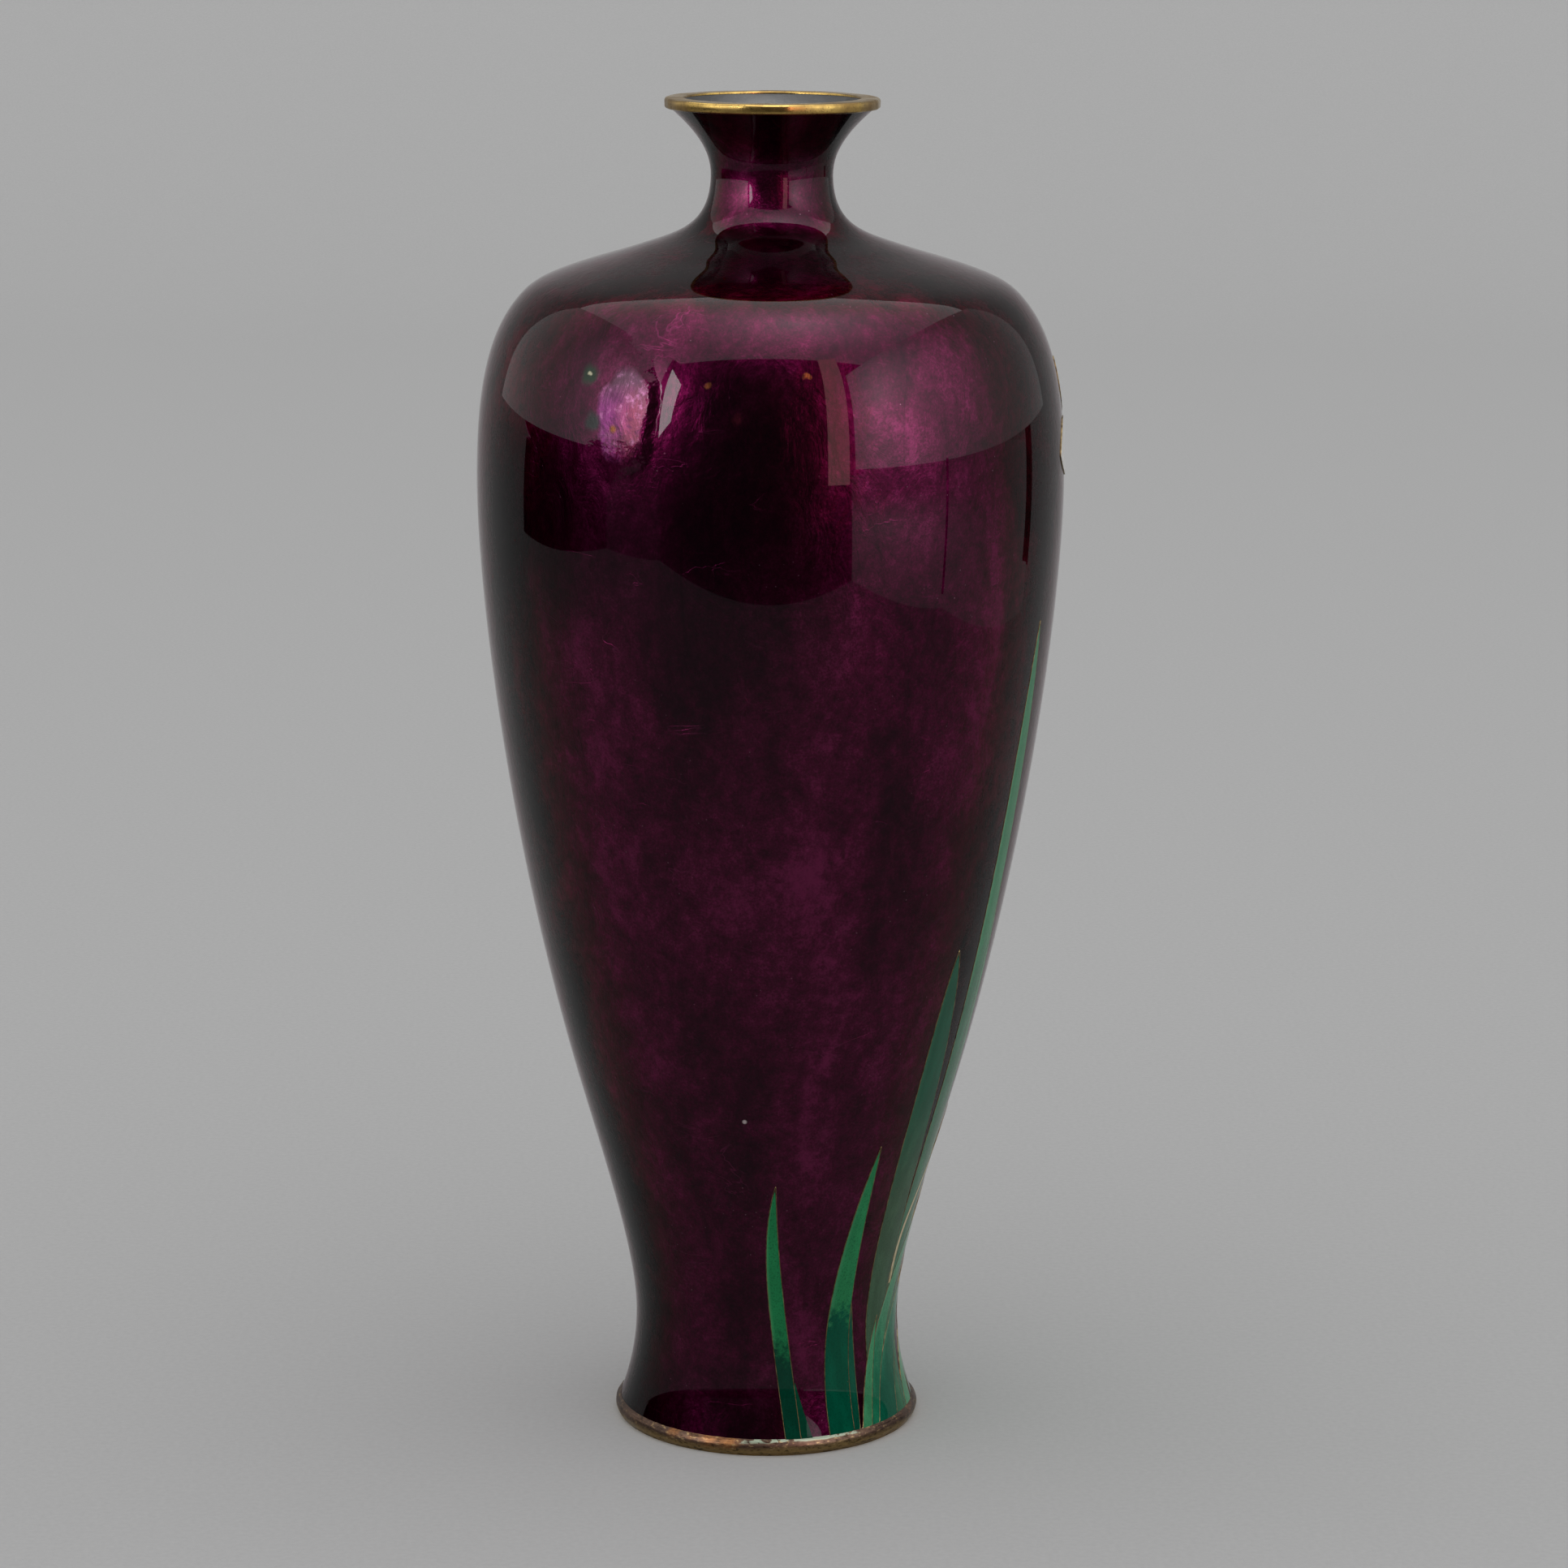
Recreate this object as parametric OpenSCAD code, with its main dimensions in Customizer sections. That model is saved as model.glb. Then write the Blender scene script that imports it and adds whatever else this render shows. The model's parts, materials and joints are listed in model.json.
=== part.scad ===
// Enamelled metal vase with a narrow neck, a full shoulder and a clump of irises in wired cells.
// Millimetres, +Z up, axis on Z, foot on Z = 0. The front of the vase faces -Y.

/* [Outline of the vase] */
// Overall height, table to the top of the mouth ring
height = 245; // [235:1:255]
// Outside radius of the foot ring
foot_r = 28.4; // [27:0.1:30]
// Height of the foot ring, where the enamel begins
foot_h = 3; // [2.5:0.1:4]
// Radius of the enamel where it meets the foot ring
skirt_r = 27.3; // [26:0.1:28]
// Radius of the waist above the foot
waist_r = 24.4; // [20:0.1:28]
// Height of the waist
waist_z = 19.5; // [15:0.5:25]
// Radius of the lower flank, halfway up the taper
flank_r = 35.7; // [30:0.1:40]
// Height of the lower flank point
flank_z = 67.6; // [60:0.1:80]
// Radius of the belly, the widest place
belly_r = 53.1; // [45:0.1:60]
// Height of the belly
belly_z = 176.5; // [160:0.5:185]
// Radius where the shoulder turns over
turn_r = 44; // [40:0.5:48]
// Height where the shoulder turns over
turn_z = 210.9; // [208:0.1:213]
// Radius at the middle of the shoulder slope
slope_r = 26; // [22:0.5:30]
// Height at the middle of the shoulder slope
slope_z = 217.8; // [216:0.1:220]
// Radius of the neck at its narrowest
neck_r = 10.9; // [9:0.1:14]
// Height of the narrowest place of the neck
neck_z = 231.7; // [228:0.1:236]
// Radius of the enamel under the mouth ring
lip_r = 18.2; // [16:0.1:20]
// Height of the mouth ring
rim_h = 1.9; // [1.5:0.1:3]
// Outside radius of the mouth ring
rim_r = 19.3; // [18:0.1:21]
// Radius of the opening inside the mouth ring
mouth_r = 15.8; // [14:0.1:17]

/* [Layers of the wall] */
// Thickness of the outer enamel, and depth of the wires
enamel_t = 0.8; // [0.5:0.05:1.5]
// Thickness the silver foil is drawn at
foil_t = 0.15; // [0.15:0.05:0.3]
// Thickness of the copper wall
copper_t = 0.8; // [0.6:0.1:1.5]
// Thickness of the enamel inside and underneath
lining_t = 0.4; // [0.3:0.1:1]
// Height of the underside of the copper base above the table
base_z = 7; // [5:0.5:10]
// Width of the flat that the foot ring stands on
seat_w = 1.4; // [1:0.1:2]

/* [Wires and cells] */
// Thickness of the flat wires that fence each cell
wire_t = 0.25; // [0.2:0.05:0.4]
// How far each wire runs on past the tip of its blade
spur = 1.3; // [0.5:0.1:3]
// Steps along each side of a blade
blade_steps = 7; // [5:1:12]
// Steps along each side of a petal
petal_steps = 6; // [5:1:10]

/* [Blossoms] */
// Length of the drooping petals
fall_l = 17; // [10:0.5:20]
// Half width of the drooping petals
fall_w = 5.2; // [3:0.1:8]
// Length of the upright petals
standard_l = 14.5; // [8:0.5:18]
// Half width of the upright petals
standard_w = 4.1; // [3:0.1:6]
// Length of the yellow crest on each drooping petal
crest_l = 6; // [3:0.5:9]

/* [Hidden] */
$fn = 48;
rim_z = height - rim_h;
copper_d = enamel_t + foil_t;
lining_d = copper_d + copper_t;
wall_d = lining_d + lining_t;

// A point on a curve through a and d, pulled towards b and c
function bend(a, b, c, d, t) =
    pow(1 - t, 3) * a + 3 * t * pow(1 - t, 2) * b + 3 * t * t * (1 - t) * c + pow(t, 3) * d;
function curve(p, n) = [for (i = [0 : n - 1]) bend(p[0], p[1], p[2], p[3], i / n)];

// Outer line of the enamel, from the foot ring up to the mouth ring
skirt = [[skirt_r, foot_h], [26.4, 5.8], [waist_r, 11.2], [waist_r, waist_z]];
taper = [[waist_r, waist_z], [waist_r, 31.1], [31, 50.9], [flank_r, flank_z]];
belly = [[flank_r, flank_z], [47.2, 108.8], [belly_r, 153.7], [belly_r, belly_z]];
shoulder = [[belly_r, belly_z], [belly_r, 198.5], [49, 206], [turn_r, turn_z]];
slope = [[turn_r, turn_z], [41.2, 213.7], [29.1, 216.8], [slope_r, slope_z]];
throat = [[slope_r, slope_z], [17, 221], [neck_r, 221.4], [neck_r, neck_z]];
flare = [[neck_r, neck_z], [neck_r, 235.5], [13.6, 239.2], [lip_r, rim_z]];
skin = concat(curve(skirt, 3), curve(taper, 5), curve(belly, 7), curve(shoulder, 7),
              curve(slope, 6), curve(throat, 8), curve(flare, 6), [[lip_r, rim_z]]);
last = len(skin) - 1;
skin_table = [for (p = skin) [p[1], p[0]]];
function skin_r(z) = lookup(z, skin_table);

// The same line moved in by d, square to the wall
function unit(v) = v / norm(v);
function along(i) = unit(skin[min(i + 1, last)] - skin[max(i - 1, 0)]);
function inset(i, d) = skin[i] - d * [along(i)[1], -along(i)[0]];
function inner_r(z, d) = lookup(z, [for (i = [0 : last]) [inset(i, d)[1], inset(i, d)[0]]]);

// Joints of the copper wall, as places along the outer line
waist_seam = 11;
collar_seam = 27;

module layer(d1, d2, from = 0, to = last)
    intersection() {
        rotate_extrude($fn = 96)
            polygon(concat([for (i = [from : to]) inset(i, d1)],
                           [for (i = [to : -1 : from]) inset(i, d2)]));
        cylinder(r = belly_r + 1, h = rim_z);
    }

// ---- outlines of the cells, as azimuth in degrees and height in mm ----
// Azimuth runs from the front, -Y, round to the right, +X.
// A blade is [facing azimuth, root, pull, pull, tip, half width, fullness towards the tip,
// share of its width lost at the root].
short_blade = [5, [10.9, 2], [8, 20], [-0.6, 34], [3, 52.4], 1.5, 5, 0];
short_fold = [14, [15.5, 2], [14.2, 6], [13, 9], [12.3, 13], 1.6, 1, 0];
middle_blade = [34, [31.2, 2], [31.6, 18], [34, 38], [38.8, 58.4], 2.7, 2.6, 0];
middle_fold = [38, [37.2, 2], [39.5, 9], [39.9, 17], [38.4, 27], 1.1, 3, 0];
broad_blade = [55, [56, 2], [55.8, 35], [54.6, 66], [54.3, 94.8], 3.8, 6, 0.35];
tall_blade = [68, [66.5, 2], [70.4, 60], [66, 110], [68.7, 154], 2.9, 7, 0.2];
back_blade = [72, [70, 2], [73, 45], [73, 70], [71.2, 107], 2.6, 3, 0];
sliver_blade = [50, [43, 2], [47.5, 9], [51.5, 14.5], [56.3, 22.6], 1.2, 3, 0];
leaning_blade = [66, [45, 1], [55, 15], [68, 29], [96, 50], 1.9, 5, 0];
drooping_blade = [74, [56, 1], [60, 9], [70, 19], [99, 35], 3, 3, 0];
low_blade = [84, [77, 1], [79, 7], [85, 12], [99, 21], 2, 4, 0];
sheath = [76, [64, 28], [64.3, 41], [66, 38], [86, 60], 0.6, 6, 0];
side_blade = [94, [90, 2], [98, 45], [93, 80], [98, 122], 2.9, 6, 0.3];
far_blade = [110, [102, 2], [110, 50], [105, 95], [113, 140], 3, 7, 0.3];
rear_blade = [124, [115, 2], [118, 35], [124, 60], [131, 100], 3, 6, 0.3];
bent_blade = [142, [128, 2], [131, 30], [140, 55], [160, 82], 2.8, 6, 0.2];
end_blade = [162, [143, 2], [148, 20], [160, 38], [184, 52], 2.5, 5, 0.2];
high_stem = [97, [95, 2], [101, 70], [96, 120], [98, 173], 0.8, 40, 0];
low_stem = [133, [122, 2], [124, 60], [130, 95], [143, 133], 0.8, 40, 0];
bud_stem = [125, [118, 60], [121, 100], [124, 140], [126, 172], 0.7, 40, 0];
// A blossom is [azimuth, height]
high_blossom = [98, 185];
low_blossom = [143, 145];
bud_place = [126, 171];

function flat(facing, az, z) = [skin_r(z) * sin(az - facing), z];
function spine(b, t) = bend(b[1], b[2], b[3], b[4], t);
// Sideways direction of a blade at t, as degrees of azimuth and mm of height for 1 mm
function across(b, t) =
    let (p = spine(b, t), q = spine(b, min(t + 0.02, 1)) - spine(b, max(t - 0.02, 0)),
         r = skin_r(p[1]), v = unit([q[0] * r * PI / 180, q[1]]))
    [v[1] * 180 / (PI * r), -v[0]];
function half_width(b, t) = pow(max(0, 1 - pow(t, b[6])), 0.85) * (1 - b[7] * pow(1 - t, 3));
function edge(b, t, side, w, stretch) =
    let (p = spine(b, t * stretch) + side * w * half_width(b, t) * across(b, t * stretch))
    flat(b[0], p[0], p[1]);
// Outline of a blade; fence takes the wire off it all round
function blade_outline(b, fence) =
    let (stretch = fence > 0 ? 1 - (fence + spur) / norm(b[4] - b[1]) : 1, w = b[5] - fence)
    concat([for (i = [0 : blade_steps - 1]) edge(b, i / blade_steps, -1, w, stretch)],
           [for (i = [blade_steps : -1 : 0]) edge(b, i / blade_steps, 1, w, stretch)]);

module prism(facing)
    rotate([0, 0, facing])
        rotate([90, 0, 0])
            linear_extrude(belly_r + 5)
                children();

module blade(b, fence = 0)
    prism(b[0])
        polygon(blade_outline(b, fence));

// Petal along an angle, from its heel out; angle 0 points right, 90 up
function petal_w(t) = pow(sin(180 * pow(t, 0.75)), 0.8);
function petal_point(t, side, l, w, a, heel) =
    let (x = heel + t * l, y = side * w * petal_w(t))
    [x * cos(a) - y * sin(a), x * sin(a) + y * cos(a)];
function petal_outline(l, w, a, heel) =
    concat([for (i = [0 : petal_steps - 1]) petal_point(i / petal_steps, -1, l, w, a, heel)],
           [for (i = [petal_steps : -1 : 1]) petal_point(i / petal_steps, 1, l, w, a, heel)]);

module petals(place, angles, l, w, heel, fence = 0)
    prism(place[0])
        translate([0, place[1]])
            for (a = angles)
                polygon(petal_outline(l - 3 * fence, w - fence, a, heel + 1.5 * fence));

fall_angles = [188, 270, 352];
standard_angles = [60, 120];
crest_heel = 3.5;

module falls(place, fence = 0) petals(place, fall_angles, fall_l, fall_w, 1.6, fence);
module standards(place, fence = 0) petals(place, standard_angles, standard_l, standard_w, 1.8, fence);
module crests(place, fence = 0) petals(place, fall_angles, crest_l, 1.1, crest_heel, fence);
module whole_blossom(place) {
    falls(place);
    standards(place);
}
module bud(fence = 0) petals(bud_place, [88], 15, 3, 0, fence);

module coat() layer(0, enamel_t);

module cell()
    intersection() {
        coat();
        children();
    }

module fence_of(b)
    intersection() {
        coat();
        difference() {
            blade(b);
            blade(b, wire_t);
        }
    }

// Everything that stands in the ground, front cells first
module all_blades() {
    for (b = [short_blade, short_fold, middle_blade, middle_fold, sliver_blade, broad_blade,
              leaning_blade, drooping_blade, low_blade, sheath, tall_blade, back_blade,
              side_blade, far_blade, rear_blade, bent_blade, end_blade,
              high_stem, low_stem, bud_stem])
        blade(b);
    whole_blossom(high_blossom);
    whole_blossom(low_blossom);
    bud();
}

// ---- the metal ----
module copper_lower()
    color([0.72, 0.42, 0.28])
        layer(copper_d, lining_d, 0, waist_seam);

module copper_upper()
    color([0.72, 0.42, 0.28])
        layer(copper_d, lining_d, waist_seam, collar_seam);

module copper_neck()
    color([0.72, 0.42, 0.28])
        layer(copper_d, lining_d, collar_seam, last);

base_r = inner_r(base_z + copper_t, lining_d) - 0.05;

module copper_base()
    color([0.72, 0.42, 0.28])
        translate([0, 0, base_z])
            cylinder(r = base_r, h = copper_t);

// The ring caps the wall, and the lining runs up inside it to just under its top
lip_z = height - 0.4;

module mouth_rim()
    color([0.66, 0.5, 0.26])
        rotate_extrude($fn = 96)
            polygon([[inner_r(rim_z, lining_d), rim_z], [lip_r, rim_z], [rim_r - 0.4, rim_z],
                     [rim_r, rim_z + 0.5], [rim_r, height - 0.7], [rim_r - 0.2, height - 0.2],
                     [rim_r - 0.7, height], [mouth_r + 0.3, height], [mouth_r, height - 0.2],
                     [mouth_r, lip_z], [mouth_r + lining_t, lip_z]]);

// Half round moulding that stands on a narrow flat
bead_r = foot_h / 2;
bead_x = foot_r - bead_r;
toe = inset(0, wall_d);

module foot_rim()
    color([0.6, 0.36, 0.22])
        rotate_extrude($fn = 96)
            polygon(concat([for (a = [-60 : 20 : 60]) [bead_x + bead_r * cos(a), bead_r + bead_r * sin(a)]],
                           [skin[0], toe, [toe[0], 0.4], [bead_x - seat_w / 2, 0], [bead_x + seat_w / 2, 0]]));

// ---- the enamels that cover whole surfaces ----
module silver_foil()
    color([0.78, 0.78, 0.8])
        layer(enamel_t, copper_d);

module ground_enamel()
    color([0.13, 0.04, 0.1])
        difference() {
            coat();
            all_blades();
        }

module lining_enamel()
    color([0.42, 0.47, 0.5]) {
        intersection() {
            rotate_extrude($fn = 96)
                polygon(concat([[0, base_z + copper_t], [base_r, base_z + copper_t]],
                               [for (i = [3 : last]) inset(i, lining_d)],
                               [for (i = [last : -1 : 3]) inset(i, wall_d)],
                               [[base_r - lining_t, base_z + copper_t + lining_t],
                                [0, base_z + copper_t + lining_t]]));
            cylinder(r = belly_r, h = rim_z);
        }
        rotate_extrude($fn = 96)
            polygon([[inner_r(rim_z, wall_d), rim_z], [inner_r(rim_z, lining_d), rim_z],
                     [mouth_r + lining_t, lip_z], [mouth_r, lip_z]]);
    }

module underside_enamel()
    color([0.42, 0.47, 0.5])
        translate([0, 0, base_z - lining_t])
            cylinder(r = toe[0] - 1.2, h = lining_t);

// ---- blades at the front ----
module short_blade_enamel()
    color([0.1, 0.42, 0.24])
        cell() blade(short_blade, wire_t);

module short_blade_wire()
    color([0.7, 0.55, 0.25])
        fence_of(short_blade);

module short_fold_enamel()
    color([0.02, 0.25, 0.16])
        difference() {
            cell() blade(short_fold);
            blade(short_blade);
        }

module middle_blade_enamel()
    color([0.11, 0.42, 0.24])
        cell() blade(middle_blade, wire_t);

module middle_blade_wire()
    color([0.7, 0.55, 0.25])
        fence_of(middle_blade);

module middle_fold_enamel()
    color([0.03, 0.28, 0.2])
        difference() {
            cell() blade(middle_fold, wire_t);
            blade(middle_blade);
        }

module middle_fold_wire()
    color([0.7, 0.55, 0.25])
        difference() {
            fence_of(middle_fold);
            blade(middle_blade);
        }

module sliver_blade_enamel()
    color([0.3, 0.55, 0.38])
        cell() blade(sliver_blade, wire_t);

module sliver_blade_wire()
    color([0.7, 0.55, 0.25])
        fence_of(sliver_blade);

module behind_sliver() {
    blade(sliver_blade);
}

module leaning_blade_enamel()
    color([0.2, 0.48, 0.33])
        difference() {
            cell() blade(leaning_blade, wire_t);
            behind_sliver();
        }

module leaning_blade_wire()
    color([0.7, 0.55, 0.25])
        difference() {
            fence_of(leaning_blade);
            behind_sliver();
        }

module behind_leaning() {
    behind_sliver();
    blade(leaning_blade);
}

module drooping_blade_enamel()
    color([0.1, 0.36, 0.28])
        difference() {
            cell() blade(drooping_blade, wire_t);
            behind_leaning();
        }

module drooping_blade_wire()
    color([0.7, 0.55, 0.25])
        difference() {
            fence_of(drooping_blade);
            behind_leaning();
        }

module behind_drooping() {
    behind_leaning();
    blade(drooping_blade);
}

module low_blade_enamel()
    color([0.3, 0.55, 0.4])
        difference() {
            cell() blade(low_blade, wire_t);
            behind_drooping();
        }

module low_blade_wire()
    color([0.7, 0.55, 0.25])
        difference() {
            fence_of(low_blade);
            behind_drooping();
        }

module behind_low() {
    behind_drooping();
    blade(low_blade);
}

module sheath_enamel()
    color([0.85, 0.8, 0.66])
        difference() {
            cell() blade(sheath, wire_t);
            behind_low();
        }

module sheath_wire()
    color([0.7, 0.55, 0.25])
        difference() {
            fence_of(sheath);
            behind_low();
        }

module behind_sheath() {
    behind_low();
    blade(sheath);
}

module broad_blade_enamel()
    color([0.2, 0.36, 0.3])
        difference() {
            cell() blade(broad_blade, wire_t);
            behind_sheath();
        }

module broad_blade_wire()
    color([0.7, 0.55, 0.25])
        difference() {
            fence_of(broad_blade);
            behind_sheath();
        }

module behind_broad() {
    behind_sheath();
    blade(broad_blade);
}

module tall_blade_enamel()
    color([0.28, 0.52, 0.36])
        difference() {
            cell() blade(tall_blade, wire_t);
            behind_broad();
        }

module tall_blade_wire()
    color([0.7, 0.55, 0.25])
        difference() {
            fence_of(tall_blade);
            behind_broad();
        }

module behind_tall() {
    behind_broad();
    blade(tall_blade);
}

module back_blade_enamel()
    color([0.3, 0.5, 0.38])
        difference() {
            cell() blade(back_blade, wire_t);
            behind_tall();
        }

module back_blade_wire()
    color([0.7, 0.55, 0.25])
        difference() {
            fence_of(back_blade);
            behind_tall();
        }

// ---- blades on the side away from the front ----
module behind_back() {
    behind_low();
    blade(back_blade);
    blade(sheath);
}

module side_blade_enamel()
    color([0.16, 0.45, 0.28])
        difference() {
            cell() blade(side_blade, wire_t);
            behind_back();
        }

module side_blade_wire()
    color([0.7, 0.55, 0.25])
        difference() {
            fence_of(side_blade);
            behind_back();
        }

module rear_blade_enamel()
    color([0.16, 0.45, 0.28])
        cell() blade(rear_blade, wire_t);

module rear_blade_wire()
    color([0.7, 0.55, 0.25])
        fence_of(rear_blade);

module behind_rear() {
    blade(leaning_blade);
    blade(drooping_blade);
    blade(low_blade);
    blade(side_blade);
    blade(rear_blade);
}

module far_blade_enamel()
    color([0.24, 0.5, 0.34])
        difference() {
            cell() blade(far_blade, wire_t);
            behind_rear();
        }

module far_blade_wire()
    color([0.7, 0.55, 0.25])
        difference() {
            fence_of(far_blade);
            behind_rear();
        }

module bent_blade_enamel()
    color([0.24, 0.5, 0.34])
        difference() {
            cell() blade(bent_blade, wire_t);
            blade(rear_blade);
        }

module bent_blade_wire()
    color([0.7, 0.55, 0.25])
        difference() {
            fence_of(bent_blade);
            blade(rear_blade);
        }

module end_blade_enamel()
    color([0.18, 0.42, 0.28])
        difference() {
            cell() blade(end_blade, wire_t);
            blade(bent_blade);
        }

module end_blade_wire()
    color([0.7, 0.55, 0.25])
        difference() {
            fence_of(end_blade);
            blade(bent_blade);
        }

// ---- stems, blossoms and bud ----
module before_stems() {
    whole_blossom(high_blossom);
    whole_blossom(low_blossom);
    bud();
    for (b = [leaning_blade, drooping_blade, low_blade, side_blade, rear_blade, far_blade,
              back_blade, bent_blade])
        blade(b);
}

module stem(b)
    color([0.3, 0.55, 0.3])
        difference() {
            cell() blade(b, wire_t);
            before_stems();
        }

module high_stem_enamel() stem(high_stem);

module low_stem_enamel() stem(low_stem);

module bud_stem_enamel()
    difference() {
        stem(bud_stem);
        blade(low_stem);
    }

module stem_wires()
    color([0.7, 0.55, 0.25])
        difference() {
            union() {
                fence_of(high_stem);
                fence_of(low_stem);
                difference() {
                    fence_of(bud_stem);
                    blade(low_stem);
                }
            }
            before_stems();
        }

module blossom_falls(place)
    color([0.9, 0.89, 0.85])
        difference() {
            cell() falls(place, wire_t);
            crests(place);
        }

module blossom_standards(place)
    color([0.88, 0.87, 0.88])
        cell() standards(place, wire_t);

module blossom_crests(place)
    color([0.85, 0.65, 0.2])
        cell() crests(place);

module blossom_wires(place)
    color([0.7, 0.55, 0.25])
        cell()
            difference() {
                whole_blossom(place);
                falls(place, wire_t);
                standards(place, wire_t);
            }

module high_blossom_falls() blossom_falls(high_blossom);

module high_blossom_standards() blossom_standards(high_blossom);

module high_blossom_crests() blossom_crests(high_blossom);

module high_blossom_wires() blossom_wires(high_blossom);

module low_blossom_falls() blossom_falls(low_blossom);

module low_blossom_standards() blossom_standards(low_blossom);

module low_blossom_crests() blossom_crests(low_blossom);

module low_blossom_wires() blossom_wires(low_blossom);

module bud_enamel()
    color([0.8, 0.82, 0.8])
        cell() bud(wire_t);

module bud_wire()
    color([0.7, 0.55, 0.25])
        cell()
            difference() {
                bud();
                bud(wire_t);
            }

copper_lower();
copper_upper();
copper_neck();
copper_base();
mouth_rim();
foot_rim();
silver_foil();
ground_enamel();
lining_enamel();
underside_enamel();
short_blade_enamel();
short_blade_wire();
short_fold_enamel();
middle_blade_enamel();
middle_blade_wire();
middle_fold_enamel();
middle_fold_wire();
sliver_blade_enamel();
sliver_blade_wire();
leaning_blade_enamel();
leaning_blade_wire();
drooping_blade_enamel();
drooping_blade_wire();
low_blade_enamel();
low_blade_wire();
sheath_enamel();
sheath_wire();
broad_blade_enamel();
broad_blade_wire();
tall_blade_enamel();
tall_blade_wire();
back_blade_enamel();
back_blade_wire();
side_blade_enamel();
side_blade_wire();
rear_blade_enamel();
rear_blade_wire();
far_blade_enamel();
far_blade_wire();
bent_blade_enamel();
bent_blade_wire();
end_blade_enamel();
end_blade_wire();
high_stem_enamel();
low_stem_enamel();
bud_stem_enamel();
stem_wires();
high_blossom_falls();
high_blossom_standards();
high_blossom_crests();
high_blossom_wires();
low_blossom_falls();
low_blossom_standards();
low_blossom_crests();
low_blossom_wires();
bud_enamel();
bud_wire();
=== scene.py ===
import json
import math

import bmesh
import bpy
import numpy as np
from mathutils import Matrix


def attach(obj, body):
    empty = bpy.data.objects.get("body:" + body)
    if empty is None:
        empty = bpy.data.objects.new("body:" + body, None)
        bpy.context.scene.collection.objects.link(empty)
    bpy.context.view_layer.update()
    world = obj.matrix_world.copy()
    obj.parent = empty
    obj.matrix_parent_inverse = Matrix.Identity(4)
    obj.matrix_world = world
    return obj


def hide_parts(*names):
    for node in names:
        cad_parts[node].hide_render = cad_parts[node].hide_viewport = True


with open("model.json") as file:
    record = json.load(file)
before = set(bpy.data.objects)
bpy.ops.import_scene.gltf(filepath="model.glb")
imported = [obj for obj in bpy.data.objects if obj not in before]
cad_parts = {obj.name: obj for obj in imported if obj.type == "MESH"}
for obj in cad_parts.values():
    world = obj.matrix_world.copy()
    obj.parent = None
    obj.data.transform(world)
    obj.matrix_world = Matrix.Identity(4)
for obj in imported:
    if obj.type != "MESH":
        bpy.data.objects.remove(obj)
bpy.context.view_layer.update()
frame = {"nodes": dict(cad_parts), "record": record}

MM = 0.001

# ---------------- outline of the vase

# Radius and height in mm at the foot ring, waist, flank, belly, turn of the shoulder, slope,
# neck and lip, each pair joined by one curve with two pulls.
OUTLINE = [
    [(27.3, 3.0), (26.4, 5.8), (24.4, 11.2), (24.4, 19.5)],
    [(24.4, 19.5), (24.4, 31.1), (31.0, 50.9), (35.7, 67.6)],
    [(35.7, 67.6), (47.2, 108.8), (53.1, 153.7), (53.1, 176.5)],
    [(53.1, 176.5), (53.1, 198.5), (49.0, 206.0), (44.0, 210.9)],
    [(44.0, 210.9), (41.2, 213.7), (29.1, 216.8), (26.0, 217.8)],
    [(26.0, 217.8), (17.0, 221.0), (10.9, 221.4), (10.9, 231.7)],
    [(10.9, 231.7), (10.9, 235.5), (13.6, 239.2), (18.2, 243.1)],
]
# In mm: the seat and the top of the mouth ring, the outer enamel, the whole wall, the lining,
# the top of the base disc, the mouth's radius and the lining's lip
RING_Z = 243.1
TOP_Z = 245.0
ENAMEL = 0.8
WALL = 2.15
LINING = 0.4
BASE_TOP = 7.8
MOUTH = 15.8
LIP_Z = 244.6
# In metres: points closer than this are one point
WELD = 1e-7


def bend(points, t):
    a, b, c, d = (np.asarray(p, float) for p in points)
    t = np.asarray(t, float)[..., None]
    return (1 - t) ** 3 * a + 3 * t * (1 - t) ** 2 * b + 3 * t * t * (1 - t) * c + t ** 3 * d


def smooth_outline(step=0.5, passes=14):
    """Evenly spaced points up the outline, with the turns between its curves eased."""
    steps = np.linspace(0, 1, 200, endpoint=False)
    raw = np.vstack([bend(c, steps) for c in OUTLINE] + [np.array([OUTLINE[-1][3]])])
    run = np.concatenate([[0], np.cumsum(np.linalg.norm(np.diff(raw, axis=0), axis=1))])
    even = np.linspace(0, run[-1], int(run[-1] / step) + 1)
    line = np.stack([np.interp(even, run, raw[:, 0]), np.interp(even, run, raw[:, 1])], 1)
    for _ in range(passes):
        line[1:-1] = line[1:-1] * 0.5 + (line[:-2] + line[2:]) * 0.25
    return line


LINE = smooth_outline()
TANGENT = np.gradient(LINE, axis=0)
TANGENT /= np.linalg.norm(TANGENT, axis=1)[:, None]
NORMAL = np.stack([TANGENT[:, 1], -TANGENT[:, 0]], 1)


def at_height(z):
    """Radius, and the outward direction in the plane of the axis, at a height in mm."""
    z = np.clip(z, LINE[0, 1], LINE[-1, 1])
    r = np.interp(z, LINE[:, 1], LINE[:, 0])
    nr = np.interp(z, LINE[:, 1], NORMAL[:, 0])
    nz = np.interp(z, LINE[:, 1], NORMAL[:, 1])
    return r, nr, nz


def on_skin(azimuth, z, lift):
    """Points in metres on the vase's skin, lifted off it in mm. Azimuth runs from front to right."""
    azimuth, z, lift = np.broadcast_arrays(*(np.asarray(v, float) for v in (azimuth, z, lift)))
    r, nr, nz = at_height(z)
    a = np.radians(azimuth)
    rr = r + nr * lift
    return np.stack([rr * np.sin(a), -rr * np.cos(a), z + nz * lift], -1) * MM


# The blister on the left of the shoulder: azimuth, height, half width, half height
BLISTER = (-29.7, 194.0, 5.0, 9.2)
BLISTER_DEPTH = 20


# ---------------- making pieces

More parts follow.
